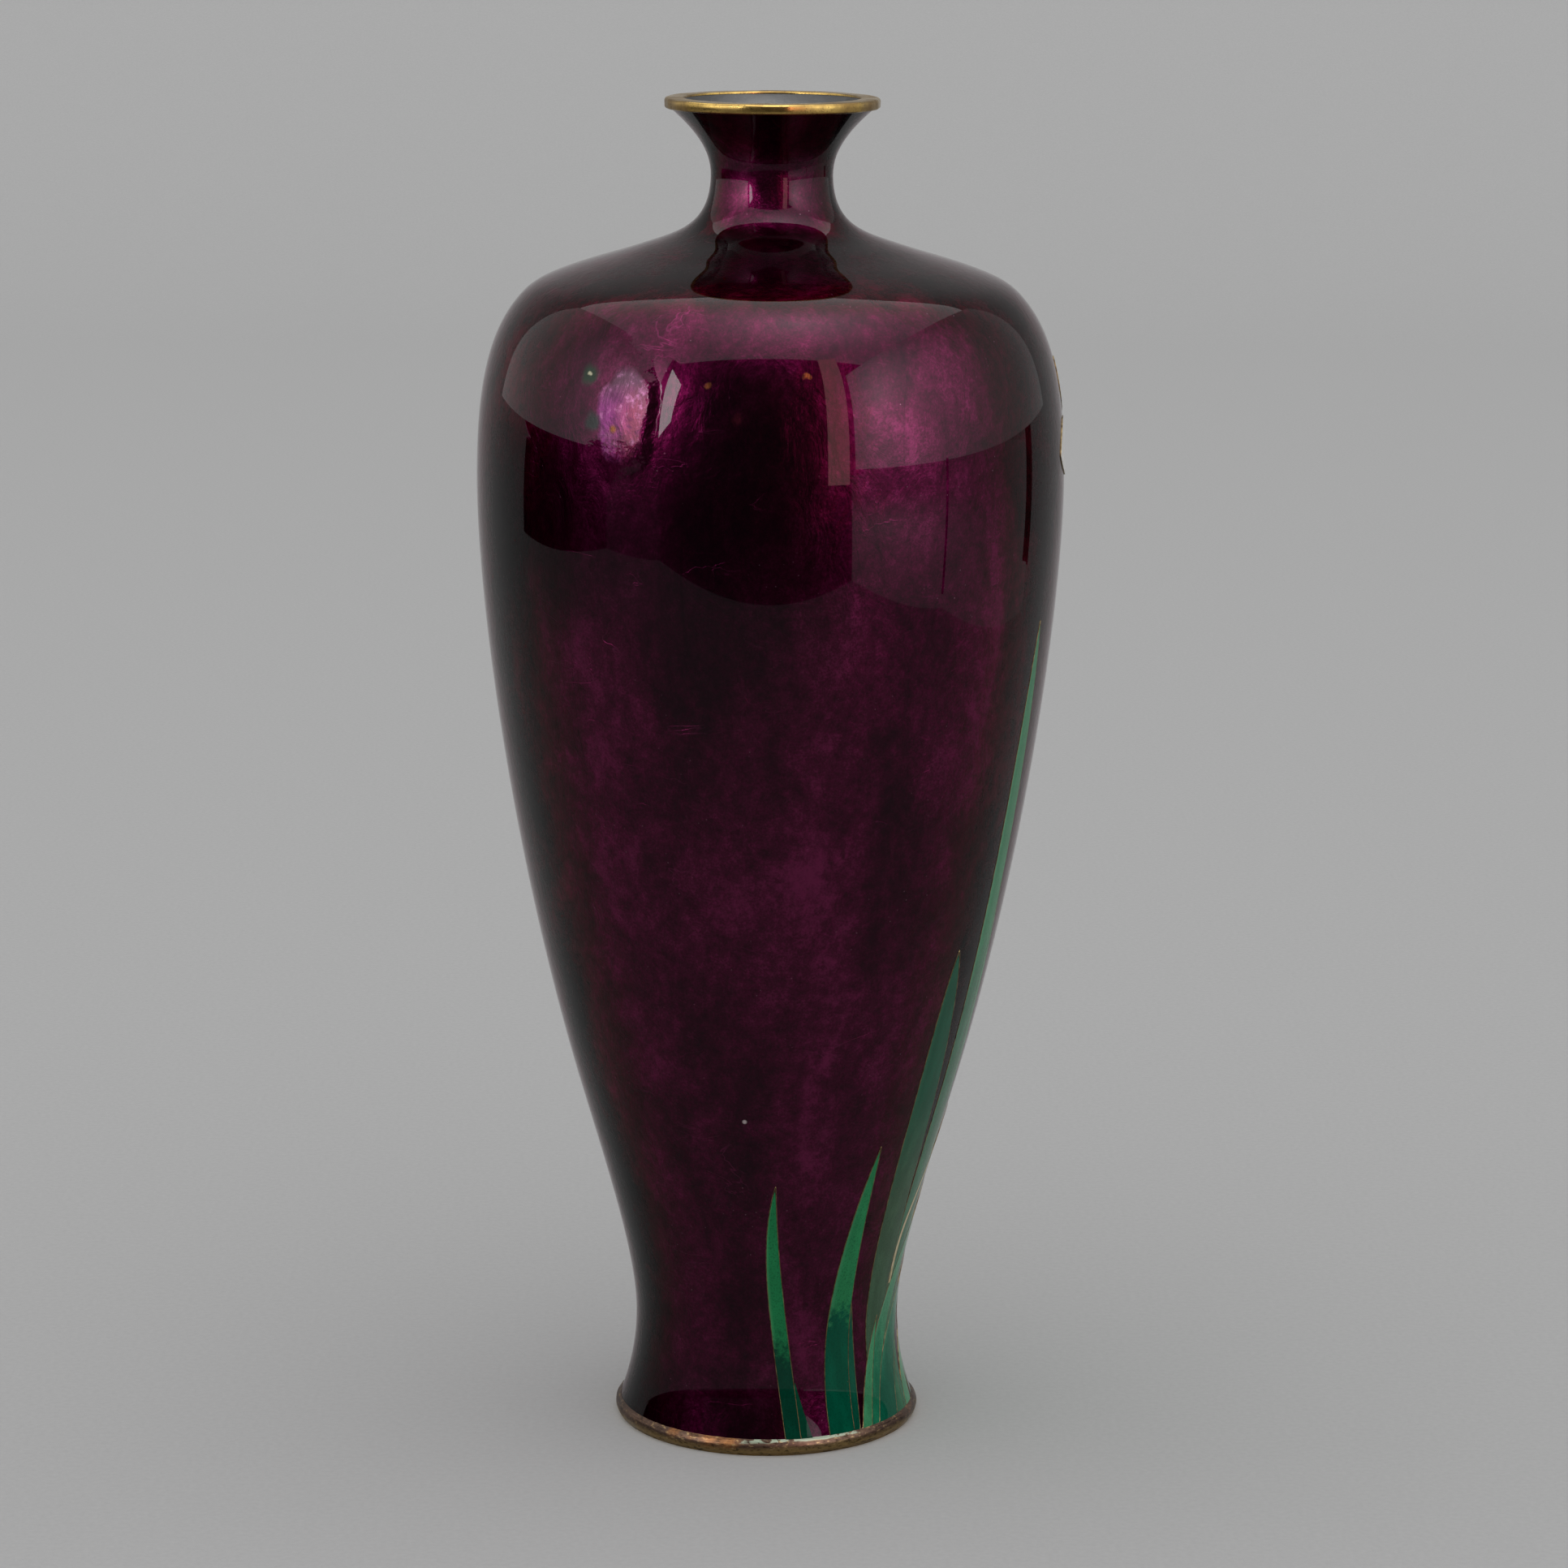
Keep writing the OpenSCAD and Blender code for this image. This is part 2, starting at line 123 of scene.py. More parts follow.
SHARP = math.radians(40)


def add_object(name, mesh):
    obj = bpy.data.objects.new(name, mesh)
    bpy.context.scene.collection.objects.link(obj)
    return obj


def link(tree, *pairs):
    for start, end in pairs:
        tree.links.new(start, end)


def put(node, **values):
    """Sets plain values on a node's sockets. An underscore stands for a space."""
    for key, value in values.items():
        node.inputs[key.replace("_", " ")].default_value = value


def smooth(mesh):
    mesh.polygons.foreach_set("use_smooth", [True] * len(mesh.polygons))


def settle(obj, nodes):
    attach(obj, "root")
    if nodes:
        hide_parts(*nodes)
    return obj


def piece(name, points, faces, material, nodes, uv):
    mesh = bpy.data.meshes.new(name)
    mesh.from_pydata([tuple(p) for p in np.asarray(points, float)], [], [tuple(f) for f in faces])
    layer = mesh.uv_layers.new(name="along")
    where = np.zeros(len(mesh.loops), int)
    mesh.loops.foreach_get("vertex_index", where)
    layer.data.foreach_set("uv", np.asarray(uv, float)[where].ravel())
    smooth(mesh)
    mesh.update()
    mesh.set_sharp_from_angle(angle=SHARP)
    obj = add_object(name, mesh)
    obj.data.materials.append(material)
    return settle(obj, nodes)


def start_tree(name, sockets):
    """A Geometry Nodes tree with a mesh coming in, named inputs, and one finished mesh going out."""
    tree = bpy.data.node_groups.new(name, "GeometryNodeTree")
    tree.interface.new_socket(name="Line", in_out="INPUT", socket_type="NodeSocketGeometry")
    for label, kind in sockets:
        tree.interface.new_socket(name=label, in_out="INPUT", socket_type=kind)
    tree.interface.new_socket(name="Finish", in_out="INPUT", socket_type="NodeSocketMaterial")
    tree.interface.new_socket(name="Piece", in_out="OUTPUT", socket_type="NodeSocketGeometry")
    return tree, tree.nodes.new("NodeGroupInput"), tree.nodes.new("NodeGroupOutput")


def end_tree(tree, gin, gout, mesh):
    real = tree.nodes.new("GeometryNodeRealizeInstances")
    coat = tree.nodes.new("GeometryNodeSetMaterial")
    link(tree,
         (mesh, real.inputs["Geometry"]),
         (real.outputs["Geometry"], coat.inputs["Geometry"]),
         (gin.outputs["Finish"], coat.inputs["Material"]),
         (coat.outputs["Geometry"], gout.inputs["Piece"]))
    return tree


HUB = 1.0 * MM


def spinning_tree():
    """Turns a closed section round the vase's axis, as on a lathe."""
    tree, gin, gout = start_tree("turned_on_axis", [("Turns", "NodeSocketInt")])
    hub = tree.nodes.new("GeometryNodeCurvePrimitiveCircle")
    put(hub, Radius=HUB)
    upright = tree.nodes.new("GeometryNodeSetCurveNormal")
    upright.mode = "Z_UP"
    section = tree.nodes.new("GeometryNodeMeshToCurve")
    spin = tree.nodes.new("GeometryNodeCurveToMesh")
    weld = tree.nodes.new("GeometryNodeMergeByDistance")
    put(weld, Distance=WELD)
    link(tree,
         (gin.outputs["Turns"], hub.inputs["Resolution"]),
         (hub.outputs["Curve"], upright.inputs["Curve"]),
         (upright.outputs["Curve"], spin.inputs["Curve"]),
         (gin.outputs["Line"], section.inputs["Mesh"]),
         (section.outputs["Curve"], spin.inputs["Profile Curve"]),
         (spin.outputs["Mesh"], weld.inputs["Geometry"]))
    return end_tree(tree, gin, gout, weld.outputs["Geometry"])


def fencing_tree():
    """Stands flat wire on edge along a line that lies on the vase's skin."""
    sizes = [(label, "NodeSocketFloat") for label in ("Wire width", "Wire depth")]
    tree, gin, gout = start_tree("flat_wire", sizes)
    line = tree.nodes.new("GeometryNodeMeshToCurve")
    facing = tree.nodes.new("GeometryNodeSetCurveNormal")
    facing.mode = "FREE"
    out = tree.nodes.new("GeometryNodeInputNamedAttribute")
    out.data_type = "FLOAT_VECTOR"
    put(out, Name="outward")
    strip = tree.nodes.new("GeometryNodeCurvePrimitiveQuadrilateral")
    bend_wire = tree.nodes.new("GeometryNodeCurveToMesh")
    put(bend_wire, Fill_Caps=True)
    link(tree,
         (gin.outputs["Line"], line.inputs["Mesh"]),
         (line.outputs["Curve"], facing.inputs["Curve"]),
         (out.outputs["Attribute"], facing.inputs["Normal"]),
         (gin.outputs["Wire depth"], strip.inputs["Width"]),
         (gin.outputs["Wire width"], strip.inputs["Height"]),
         (facing.outputs["Curve"], bend_wire.inputs["Curve"]),
         (strip.outputs["Curve"], bend_wire.inputs["Profile Curve"]))
    return end_tree(tree, gin, gout, bend_wire.outputs["Mesh"])


SPIN = spinning_tree()
FENCING = fencing_tree()


def grow(name, points, edges, tree, values, vectors=None):
    """Runs a tree on a line of points and keeps the mesh that comes out."""
    mesh = bpy.data.meshes.new(name + "_line")
    mesh.from_pydata([tuple(p) for p in points], [tuple(e) for e in edges], [])
    if vectors is not None:
        attribute = mesh.attributes.new("outward", "FLOAT_VECTOR", "POINT")
        attribute.data.foreach_set("vector", np.asarray(vectors, float).ravel())
    obj = add_object(name, mesh)
    modifier = obj.modifiers.new("make", "NODES")
    modifier.node_group = tree
    sockets = {item.name: item.identifier for item in tree.interface.items_tree}
    for label, value in values.items():
        modifier[sockets[label]] = value
    graph = bpy.context.evaluated_depsgraph_get()
    made = bpy.data.meshes.new_from_object(obj.evaluated_get(graph), depsgraph=graph)
    obj.modifiers.remove(modifier)
    obj.data = made
    made.name = name
    bpy.data.meshes.remove(mesh)
    return obj


def face_out(obj):
    """Joins doubled points and turns every face outwards."""
    bm = bmesh.new()
    bm.from_mesh(obj.data)
    bmesh.ops.remove_doubles(bm, verts=bm.verts, dist=WELD)
    bmesh.ops.dissolve_degenerate(bm, edges=bm.edges, dist=1e-8)
    bmesh.ops.recalc_face_normals(bm, faces=bm.faces)
    bm.to_mesh(obj.data)
    bm.free()
    obj.data.update()


def turned(name, section, turns, material, nodes, shape=None):
    """A closed section of (radius, height) in mm, spun round the axis. Shape may move its points."""
    section = np.asarray(section, float) * MM
    points = [(r - HUB, -z, 0) for r, z in section]
    edges = [(k, (k + 1) % len(points)) for k in range(len(points))]
    obj = grow(name, points, edges, SPIN, {"Turns": turns, "Finish": material})
    if shape is not None:
        place = np.zeros(len(obj.data.vertices) * 3)
        obj.data.vertices.foreach_get("co", place)
        obj.data.vertices.foreach_set("co", shape(place.reshape(-1, 3) / MM).ravel() * MM)
    face_out(obj)
    smooth(obj.data)
    obj.data.set_sharp_from_angle(angle=SHARP)
    return settle(obj, nodes)


def inset_line(depth):
    return LINE - NORMAL * depth


# ---------------- shader helpers

def new_material(name):
    mat = bpy.data.materials.new(name)
    mat.use_nodes = True
    return mat, mat.node_tree, mat.node_tree.nodes["Principled BSDF"]


def coords(tree, scale=(1, 1, 1), place=(0, 0, 0)):
    tex = tree.nodes.new("ShaderNodeTexCoord")
    mapping = tree.nodes.new("ShaderNodeMapping")
    put(mapping, Scale=scale, Location=place)
    tree.links.new(tex.outputs["Object"], mapping.inputs["Vector"])
    return mapping.outputs["Vector"]


def plain(tree, which):
    """The piece's own coordinates, unscaled: Object or UV."""
    return tree.nodes.new("ShaderNodeTexCoord").outputs[which]


def split(tree, vector):
    n = tree.nodes.new("ShaderNodeSeparateXYZ")
    tree.links.new(vector, n.inputs["Vector"])
    return n.outputs


def vector_math(tree, op, vector, other=(0, 0, 0)):
    n = tree.nodes.new("ShaderNodeVectorMath")
    n.operation = op
    n.inputs[1].default_value = other
    tree.links.new(vector, n.inputs[0])
    return n


def noise(tree, vector, scale, detail=4.0, rough=0.55, distortion=0.0, kind="FBM"):
    n = tree.nodes.new("ShaderNodeTexNoise")
    n.noise_type = kind
    put(n, Scale=scale, Detail=detail, Roughness=rough, Distortion=distortion)
    tree.links.new(vector, n.inputs["Vector"])
    return n.outputs["Fac"]


def ramp(tree, value, stops):
    n = tree.nodes.new("ShaderNodeValToRGB")
    elements = n.color_ramp.elements
    while len(elements) < len(stops):
        elements.new(0.5)
    for e, (at, col) in zip(elements, stops):
        e.position = at
        e.color = (*col, 1)
    tree.links.new(value, n.inputs["Fac"])
    return n.outputs["Color"]


def span(tree, value, low, high, to_low=0.0, to_high=1.0):
    n = tree.nodes.new("ShaderNodeMapRange")
    put(n, From_Min=low, From_Max=high, To_Min=to_low, To_Max=to_high)
    tree.links.new(value, n.inputs["Value"])
    return n.outputs["Result"]


def mix(tree, factor, a, b):
    """Colour a where the factor is 0, b where it is 1."""
    n = tree.nodes.new("ShaderNodeMix")
    n.data_type = "RGBA"
    n.clamp_factor = True
    for socket, value in ((n.inputs["Factor"], factor), (n.inputs["A"], a), (n.inputs["B"], b)):
        if isinstance(value, bpy.types.NodeSocket):
            tree.links.new(value, socket)
        else:
            socket.default_value = (*value, 1)
    return n.outputs["Result"]


def math_node(tree, op, a, b=None, c=None):
    n = tree.nodes.new("ShaderNodeMath")
    n.operation = op
    for socket, value in zip(n.inputs, (a, b, c)):
        if value is None:
            continue
        if isinstance(value, bpy.types.NodeSocket):
            tree.links.new(value, socket)
        else:
            socket.default_value = value
    return n.outputs["Value"]


def times(tree, a, b):
    return math_node(tree, "MULTIPLY", a, b)


def plus(tree, a, b):
    return math_node(tree, "ADD", a, b)


def wobble(tree, layer, amount):
    """A noise layer turned into a push either way, as large as amount."""
    return times(tree, math_node(tree, "SUBTRACT", layer, 0.5), amount)


def shade(colour, amount):
    return tuple(c * amount for c in colour)


def bump(tree, height, strength, distance, normal=None):
    n = tree.nodes.new("ShaderNodeBump")
    put(n, Strength=strength, Distance=distance)
    tree.links.new(height, n.inputs["Height"])
    if normal is not None:
        tree.links.new(normal, n.inputs["Normal"])
    return n.outputs["Normal"]


COAT_IOR = 1.21


def gloss(shader, rough, coat=1.0, coat_rough=0.015, coat_ior=COAT_IOR):
    put(shader, Roughness=rough, Coat_Weight=coat, Coat_Roughness=coat_rough, Coat_IOR=coat_ior)


def effect(name, ins, outs):
    group = bpy.data.node_groups.new(name, "ShaderNodeTree")
    for label, kind, value in ins:
        s = group.interface.new_socket(name=label, in_out="INPUT", socket_type=kind)
        if value is not None:
            s.default_value = value
    for label, kind in outs:
        group.interface.new_socket(name=label, in_out="OUTPUT", socket_type=kind)
    return group, group.nodes.new("NodeGroupInput"), group.nodes.new("NodeGroupOutput")


def use(tree, group, **values):
    n = tree.nodes.new("ShaderNodeGroup")
    n.node_tree = group
    for key, value in values.items():
        socket = n.inputs[key.replace("_", " ")]
        if isinstance(value, bpy.types.NodeSocket):
            tree.links.new(value, socket)
        else:
            socket.default_value = value
    return n


# ---------------- shared effects

def make_pits():
    """Fine pinholes left in the fired surface: a mask, and a height for bump."""
    ins = [("Vector", "NodeSocketVector", None), ("Spacing", "NodeSocketFloat", 700.0),
           ("Size", "NodeSocketFloat", 0.1)]
    g, gin, gout = effect("pinholes", ins, [("Mask", "NodeSocketFloat"), ("Height", "NodeSocketFloat")])
    v = g.nodes.new("ShaderNodeTexVoronoi")
    link(g, (gin.outputs["Vector"], v.inputs["Vector"]), (gin.outputs["Spacing"], v.inputs["Scale"]))
    thin = noise(g, gin.outputs["Vector"], 90, 3)
    patch = span(g, thin, 0.52, 0.66)
    away = math_node(g, "DIVIDE", v.outputs["Distance"], gin.outputs["Size"])
    hole = math_node(g, "MAXIMUM", math_node(g, "SUBTRACT", 1.0, away), 0.0)
    mask = times(g, hole, patch)
    sunk = times(g, mask, -1.0)
    link(g, (mask, gout.inputs["Mask"]), (sunk, gout.inputs["Height"]))
    return g


def make_patina():
    """Cloudy tarnish on old metal: a mask from bare to brown, and a height."""
    ins = [("Vector", "NodeSocketVector", None), ("Scale", "NodeSocketFloat", 220.0)]
    outs = [(label, "NodeSocketFloat") for label in ("Mask", "Fine", "Height")]
    g, gin, gout = effect("tarnish", ins, outs)
    big = g.nodes.new("ShaderNodeTexNoise")
    link(g, (gin.outputs["Vector"], big.inputs["Vector"]), (gin.outputs["Scale"], big.inputs["Scale"]))
    put(big, Detail=5, Roughness=0.62)
    fine = noise(g, gin.outputs["Vector"], 2600, 4, 0.6)
    brown = span(g, big.outputs["Fac"], 0.36, 0.64)
    height = plus(g, big.outputs["Fac"], times(g, fine, 0.3))
    link(g, (brown, gout.inputs["Mask"]), (fine, gout.inputs["Fine"]), (height, gout.inputs["Height"]))
    return g


PINHOLES = make_pits()
TARNISH = make_patina()


# ---------------- finishes

def threads(t, vector, scale, thin, detail=3.0, wander=0.8):
    """Thin wandering lines: 1 on a line, 0 off it."""
    n = noise(t, vector, scale, detail, 0.5, wander)
    off = math_node(t, "ABSOLUTE", math_node(t, "SUBTRACT", n, 0.5))
    return span(t, off, 0.0, thin, 1.0, 0.0)


def spot(t, vector, azimuth, height, inner, outer):
    """A soft round mark on the skin, in mm: 1 inside the inner radius, 0 beyond the outer."""
    far = vector_math(t, "DISTANCE", vector, on_skin(azimuth, height, 0))
    return span(t, far.outputs["Value"], inner * MM, outer * MM, 1.0, 0.0)


def shaken(t, vector, scale, amount):
    """The same places, pushed about a little, so that marks laid there get ragged edges."""
    push = t.nodes.new("ShaderNodeTexNoise")
    put(push, Scale=scale, Detail=4)
    t.links.new(vector, push.inputs["Vector"])
    centred = vector_math(t, "SUBTRACT", push.outputs["Color"], (0.5, 0.5, 0.5))
    moved = vector_math(t, "MULTIPLY_ADD", centred.outputs["Vector"], (amount * MM,) * 3)
    t.links.new(vector, moved.inputs[2])
    return moved.outputs["Vector"]


def blister_shape(t, at):
    """The blister's own axes and the distance from its middle in half widths, and its height in mm."""
    azimuth, height, wide, tall = BLISTER
    place = t.nodes.new("ShaderNodeMapping")
    place.vector_type = "TEXTURE"
    put(place, Location=on_skin(azimuth, height, 0), Rotation=(0, 0, math.radians(azimuth)),
        Scale=(wide * MM, BLISTER_DEPTH * MM, tall * MM))
    t.links.new(shaken(t, at, 150, 4.5), place.inputs["Vector"])
    parts = split(t, place.outputs["Vector"])
    far = vector_math(t, "LENGTH", place.outputs["Vector"])
    plateau = t.nodes.new("ShaderNodeMapRange")
    plateau.interpolation_type = "SMOOTHSTEP"
    t.links.new(far.outputs["Value"], plateau.inputs["Value"])
    put(plateau, From_Min=1.50, From_Max=0.80, To_Min=0.0, To_Max=1.0)
    steep = span(t, parts["X"], -0.9, 0.9, 0.08, 0.68)
    raised = times(t, plateau.outputs["Result"], steep)
    return parts, far.outputs["Value"], raised


# Two greenish stains by the blister's left edge, the upper with a pale middle, and three brown
# flecks beyond it: azimuth, height, radius and colour
FLECK = (0.13, 0.04, 0.015)
STAINS = [
    (-38, 200.2, 2.4, (0.010, 0.017, 0.011)),
    (-38, 200.2, 0.6, (0.20, 0.19, 0.13)),
    (-35.8, 192.3, 2.1, (0.014, 0.015, 0.015)),
    (-12, 199.6, 0.8, FLECK),
    (7.3, 201.3, 0.9, FLECK),
    (-6, 194.1, 1.2, (0.06, 0.006, 0.015)),
]
# Painted dark reflections, which darken the foil on the left and front of the shoulder: azimuth,
# height, full radius, radius where it ends, amount
PAINTED_DARK_REFLECTIONS = [
    (-52, 176, 9, 27, 0.75),
    (-6, 179, 8, 36, 0.50),
    (-27, 172, 5, 20, 0.3),
    (35, 192, 10, 26, 0.25),
    (-42, 203, 6, 22, 0.5),
]
DARK_REFLECTION_PAINT = (0.006, 0.0003, 0.0032)
PURPLE_DEPTHS = [
    (0.33, (0.012, 0.0004, 0.0048)),
    (0.45, (0.028, 0.0006, 0.0096)),
    (0.55, (0.053, 0.0016, 0.0190)),
    (0.68, (0.118, 0.0080, 0.048)),
]
PALE_PIT = (-6.5, 65.5, 0.25, 0.5)
# The first colour here is a painted glint along the foil's folds; the second is the dark hairlines' own
# colour
FOLD_GLINT, HAIRLINE = (0.18, 0.022, 0.085), (0.008, 0.0001, 0.003)


def blister_colours(t, at, parts, far, colour):
    """Violet foil showing at the blister's left, rose at its right, painted pinkish highlights in cloudy
    patches, crackle along its lower part.
    """
    inside = span(t, far, 0.80, 0.98, 1.0, 0.0)
    cloud = noise(t, at, 420, 5, 0.65)
    across = plus(t, parts["X"], math_node(t, "MULTIPLY_ADD", cloud, 1.6, -0.8))
    skin = mix(t, span(t, across, -0.5, 0.5), (0.125, 0.018, 0.092), (0.095, 0.016, 0.036))
    skin = mix(t, span(t, parts["Z"], 0.05, 0.6), skin, (0.050, 0.018, 0.034))
    # Painted pinkish highlights in the cloudy patches
    skin = mix(t, span(t, cloud, 0.53, 0.72, 0.0, 0.75), skin, (0.30, 0.11, 0.23))
    skin = mix(t, span(t, cloud, 0.46, 0.34, 0.0, 0.7), skin, (0.040, 0.004, 0.026))
    crackle = threads(t, coords(t, (1, 1, 0.6)), 620, 0.07, 3, 1.0)
    low = span(t, parts["Z"], -0.25, -0.6, 0.0, 0.9)
    skin = mix(t, times(t, crackle, low), skin, (0.045, 0.001, 0.014))
    skin = mix(t, spot(t, at, -31, 191.4, 0.3, 0.9), skin, (0.14, 0.045, 0.012))
    colour = mix(t, inside, colour, skin)
    ragged = shaken(t, at, 500, 2.0)
    for azimuth, height, size, stain in STAINS:
        colour = mix(t, spot(t, ragged, azimuth, height, size * 0.45, size), colour, stain)
    return colour


def purple_ground():
    """Deep translucent purple over crinkled silver foil, under a glassy fired surface."""
    mat, t, s = new_material("purple_ground")
    at = coords(t)
    clouds = noise(t, coords(t, (1, 1, 0.32)), 42, 4, 0.55, 0.5)
    patches = noise(t, coords(t, (1, 1, 0.7), (0.3, 0.1, 0)), 120, 5, 0.6, 0.8)
    grain = noise(t, at, 2300, 3, 0.7)
    mottle = noise(t, at, 520, 5, 0.65)
    depth = plus(t, times(t, clouds, 0.58), times(t, patches, 0.42))
    for layer in (grain, mottle):
        depth = plus(t, depth, wobble(t, layer, 0.34))
    colour = ramp(t, depth, PURPLE_DEPTHS)
    # Painted glints along creases where the foil has folded, here and there
    crease = threads(t, coords(t, (1, 1, 2.2), (0.05, 0.2, 0.4)), 60, 0.007, 4, 0.5)
    some = span(t, noise(t, coords(t, (1, 1, 1), (0.7, 0.3, 0.1)), 90, 3), 0.53, 0.66)
    folds_and_glints = times(t, crease, some)
    colour = mix(t, times(t, folds_and_glints, 0.3), colour, FOLD_GLINT)
    # Dark hairlines running nearly upright
    hair = threads(t, coords(t, (1, 1, 0.12), (0.2, 0.6, 0)), 34, 0.0022, 1, 0.3)
    rare = span(t, noise(t, coords(t, (1, 1, 0.6), (0.1, 0.9, 0.5)), 24, 2), 0.50, 0.58)
    lines = times(t, times(t, hair, rare), 0.6)
    colour = mix(t, lines, colour, HAIRLINE)
    # Painted dark reflections: the foil colour is darkened in these places
    for azimuth, height, inner, outer, amount in PAINTED_DARK_REFLECTIONS:
        painted_dark = times(t, spot(t, at, azimuth, height, inner, outer), amount)
        colour = mix(t, painted_dark, colour, DARK_REFLECTION_PAINT)
    # Painted shade darkens the foil just above the foot
    painted_shade_near_foot = span(t, split(t, at)["Z"], 0.006, 0.016, 0.62, 0.0)
    colour = mix(t, painted_shade_near_foot, colour, (0.007, 0.0002, 0.003))
    # Pinholes, and one pale pit low on the front
    pits = use(t, PINHOLES, Vector=at, Spacing=620.0, Size=0.10)
    colour = mix(t, pits.outputs["Mask"], colour, (0.20, 0.10, 0.14))
    colour = mix(t, spot(t, at, *PALE_PIT), colour, (0.5, 0.42, 0.42))
    parts, far, raised = blister_shape(t, at)
    t.links.new(blister_colours(t, at, parts, far, colour), s.inputs["Base Color"])
    put(s, Metallic=1.0, Specular_Tint=(0.30, 0.010, 0.10, 1))
    gloss(s, 0.30, 0.9, coat_ior=1.23)
    swelling = bump(t, raised, 1.0, MM)
    wrinkle = noise(t, coords(t, (1, 1, 0.6), (0.02, 0.01, 0.3)), 170, 5, 0.6, 0.9)
    height = plus(t, times(t, mottle, 0.22), wrinkle)
    height = plus(t, height, times(t, folds_and_glints, 0.12))
    t.links.new(bump(t, height, 0.5, 0.0006, swelling), s.inputs["Normal"])
    t.links.new(swelling, s.inputs["Coat Normal"])
    return mat


def fired(mat, t, s, pits, colour):
    """Opaque enamel under a fired gloss, pricked with pinholes."""
    t.links.new(colour, s.inputs["Base Color"])
    gloss(s, 0.45)
    put(s, Specular_IOR_Level=0.0)
    t.links.new(bump(t, pits.outputs["Height"], 0.3, 0.0001), s.inputs["Normal"])
    return mat


def blade_finish(name, high, low, change, edge, fade):
    """Opaque green enamel, darker towards the root, with a paler strip along one edge."""
    mat, t, s = new_material(name)
    at = coords(t)
    speckle = noise(t, at, 900, 5, 0.65)
    drift = noise(t, coords(t, (1, 1, 0.25)), 160, 3)
    level = plus(t, split(t, plain(t, "Object"))["Z"], wobble(t, speckle, 0.016))
    level = plus(t, level, wobble(t, drift, 0.010))
    up = span(t, level, (change - fade / 2) * MM, (change + fade / 2) * MM)
    body = mix(t, up, low, high)
    paler = mix(t, up, shade(low, 1.8), shade(high, 1.5))
    tone = noise(t, coords(t, (1, 1, 0.16)), 480, 4)
    body = mix(t, span(t, tone, 0.45, 0.75, 0.0, 0.6), body, paler)
    grain = noise(t, at, 3000, 3, 0.7)
    body = mix(t, span(t, grain, 0.5, 0.3, 0.0, 0.55), body, shade(low, 0.45))
    strip = times(t, span(t, split(t, plain(t, "UV"))["X"], 0.0, 0.2, 0.7, 0.0), up)
    body = mix(t, strip, body, edge)
    pits = use(t, PINHOLES, Vector=at, Spacing=1100.0, Size=0.16)
    return fired(mat, t, s, pits, mix(t, pits.outputs["Mask"], body, (0.01, 0.02, 0.015)))


def petal_finish(name, tip, heart, vein):
    """Opaque petal enamel, tinted towards the heart of the blossom, with faint veins."""
    mat, t, s = new_material(name)
    parts = split(t, plain(t, "UV"))
    at = coords(t)
    colour = mix(t, span(t, parts["Y"], 0.05, 0.6), heart, tip)
    fan = t.nodes.new("ShaderNodeTexWave")
    fan.wave_type = "BANDS"
    fan.bands_direction = "X"
    put(fan, Scale=3.2, Distortion=1.2, Detail=2)
    t.links.new(plain(t, "UV"), fan.inputs["Vector"])
    lines = span(t, fan.outputs["Fac"], 0.0, 0.12, 0.5, 0.0)
    reach = span(t, parts["Y"], 0.25, 0.8, 1.0, 0.0)
    colour = mix(t, times(t, lines, reach), colour, vein)
    cloud = noise(t, at, 300, 4)
    colour = mix(t, span(t, cloud, 0.4, 0.8, 0.0, 0.25), colour, shade(tip, 0.75))
    pits = use(t, PINHOLES, Vector=at, Spacing=900.0, Size=0.14)
    return fired(mat, t, s, pits, mix(t, pits.outputs["Mask"], colour, (0.1, 0.08, 0.07)))


def metal(name, bright, brown, dark, scale, rough, lift=0.00012, strength=0.4):
    """Bare metal under cloudy tarnish, rougher where it is brown."""
    mat, t, s = new_material(name)
    at = coords(t)
    old = use(t, TARNISH, Vector=at, Scale=scale)
    colour = mix(t, old.outputs["Mask"], bright, brown)
    colour = mix(t, span(t, old.outputs["Fine"], 0.56, 0.72, 0.0, 0.8), colour, dark)
    t.links.new(colour, s.inputs["Base Color"])
    put(s, Metallic=1.0)
    t.links.new(span(t, old.outputs["Mask"], 0, 1, *rough), s.inputs["Roughness"])
    t.links.new(bump(t, old.outputs["Height"], strength, lift), s.inputs["Normal"])
    return mat


CRUST_AT = math.radians(15)
CRUST_RADIUS = 0.0275
FOOT_BROWN, FOOT_DARK, FOOT_ORANGE = (0.115, 0.068, 0.048), (0.060, 0.038, 0.030), (0.19, 0.085, 0.035)
RUBBED_GOLD_AND_HIGHLIGHT, GOLD_FLAKE, SOOT = (0.27, 0.185, 0.075), (0.36, 0.25, 0.12), (0.03, 0.02, 0.012)
CHALK = (0.44, 0.52, 0.38)


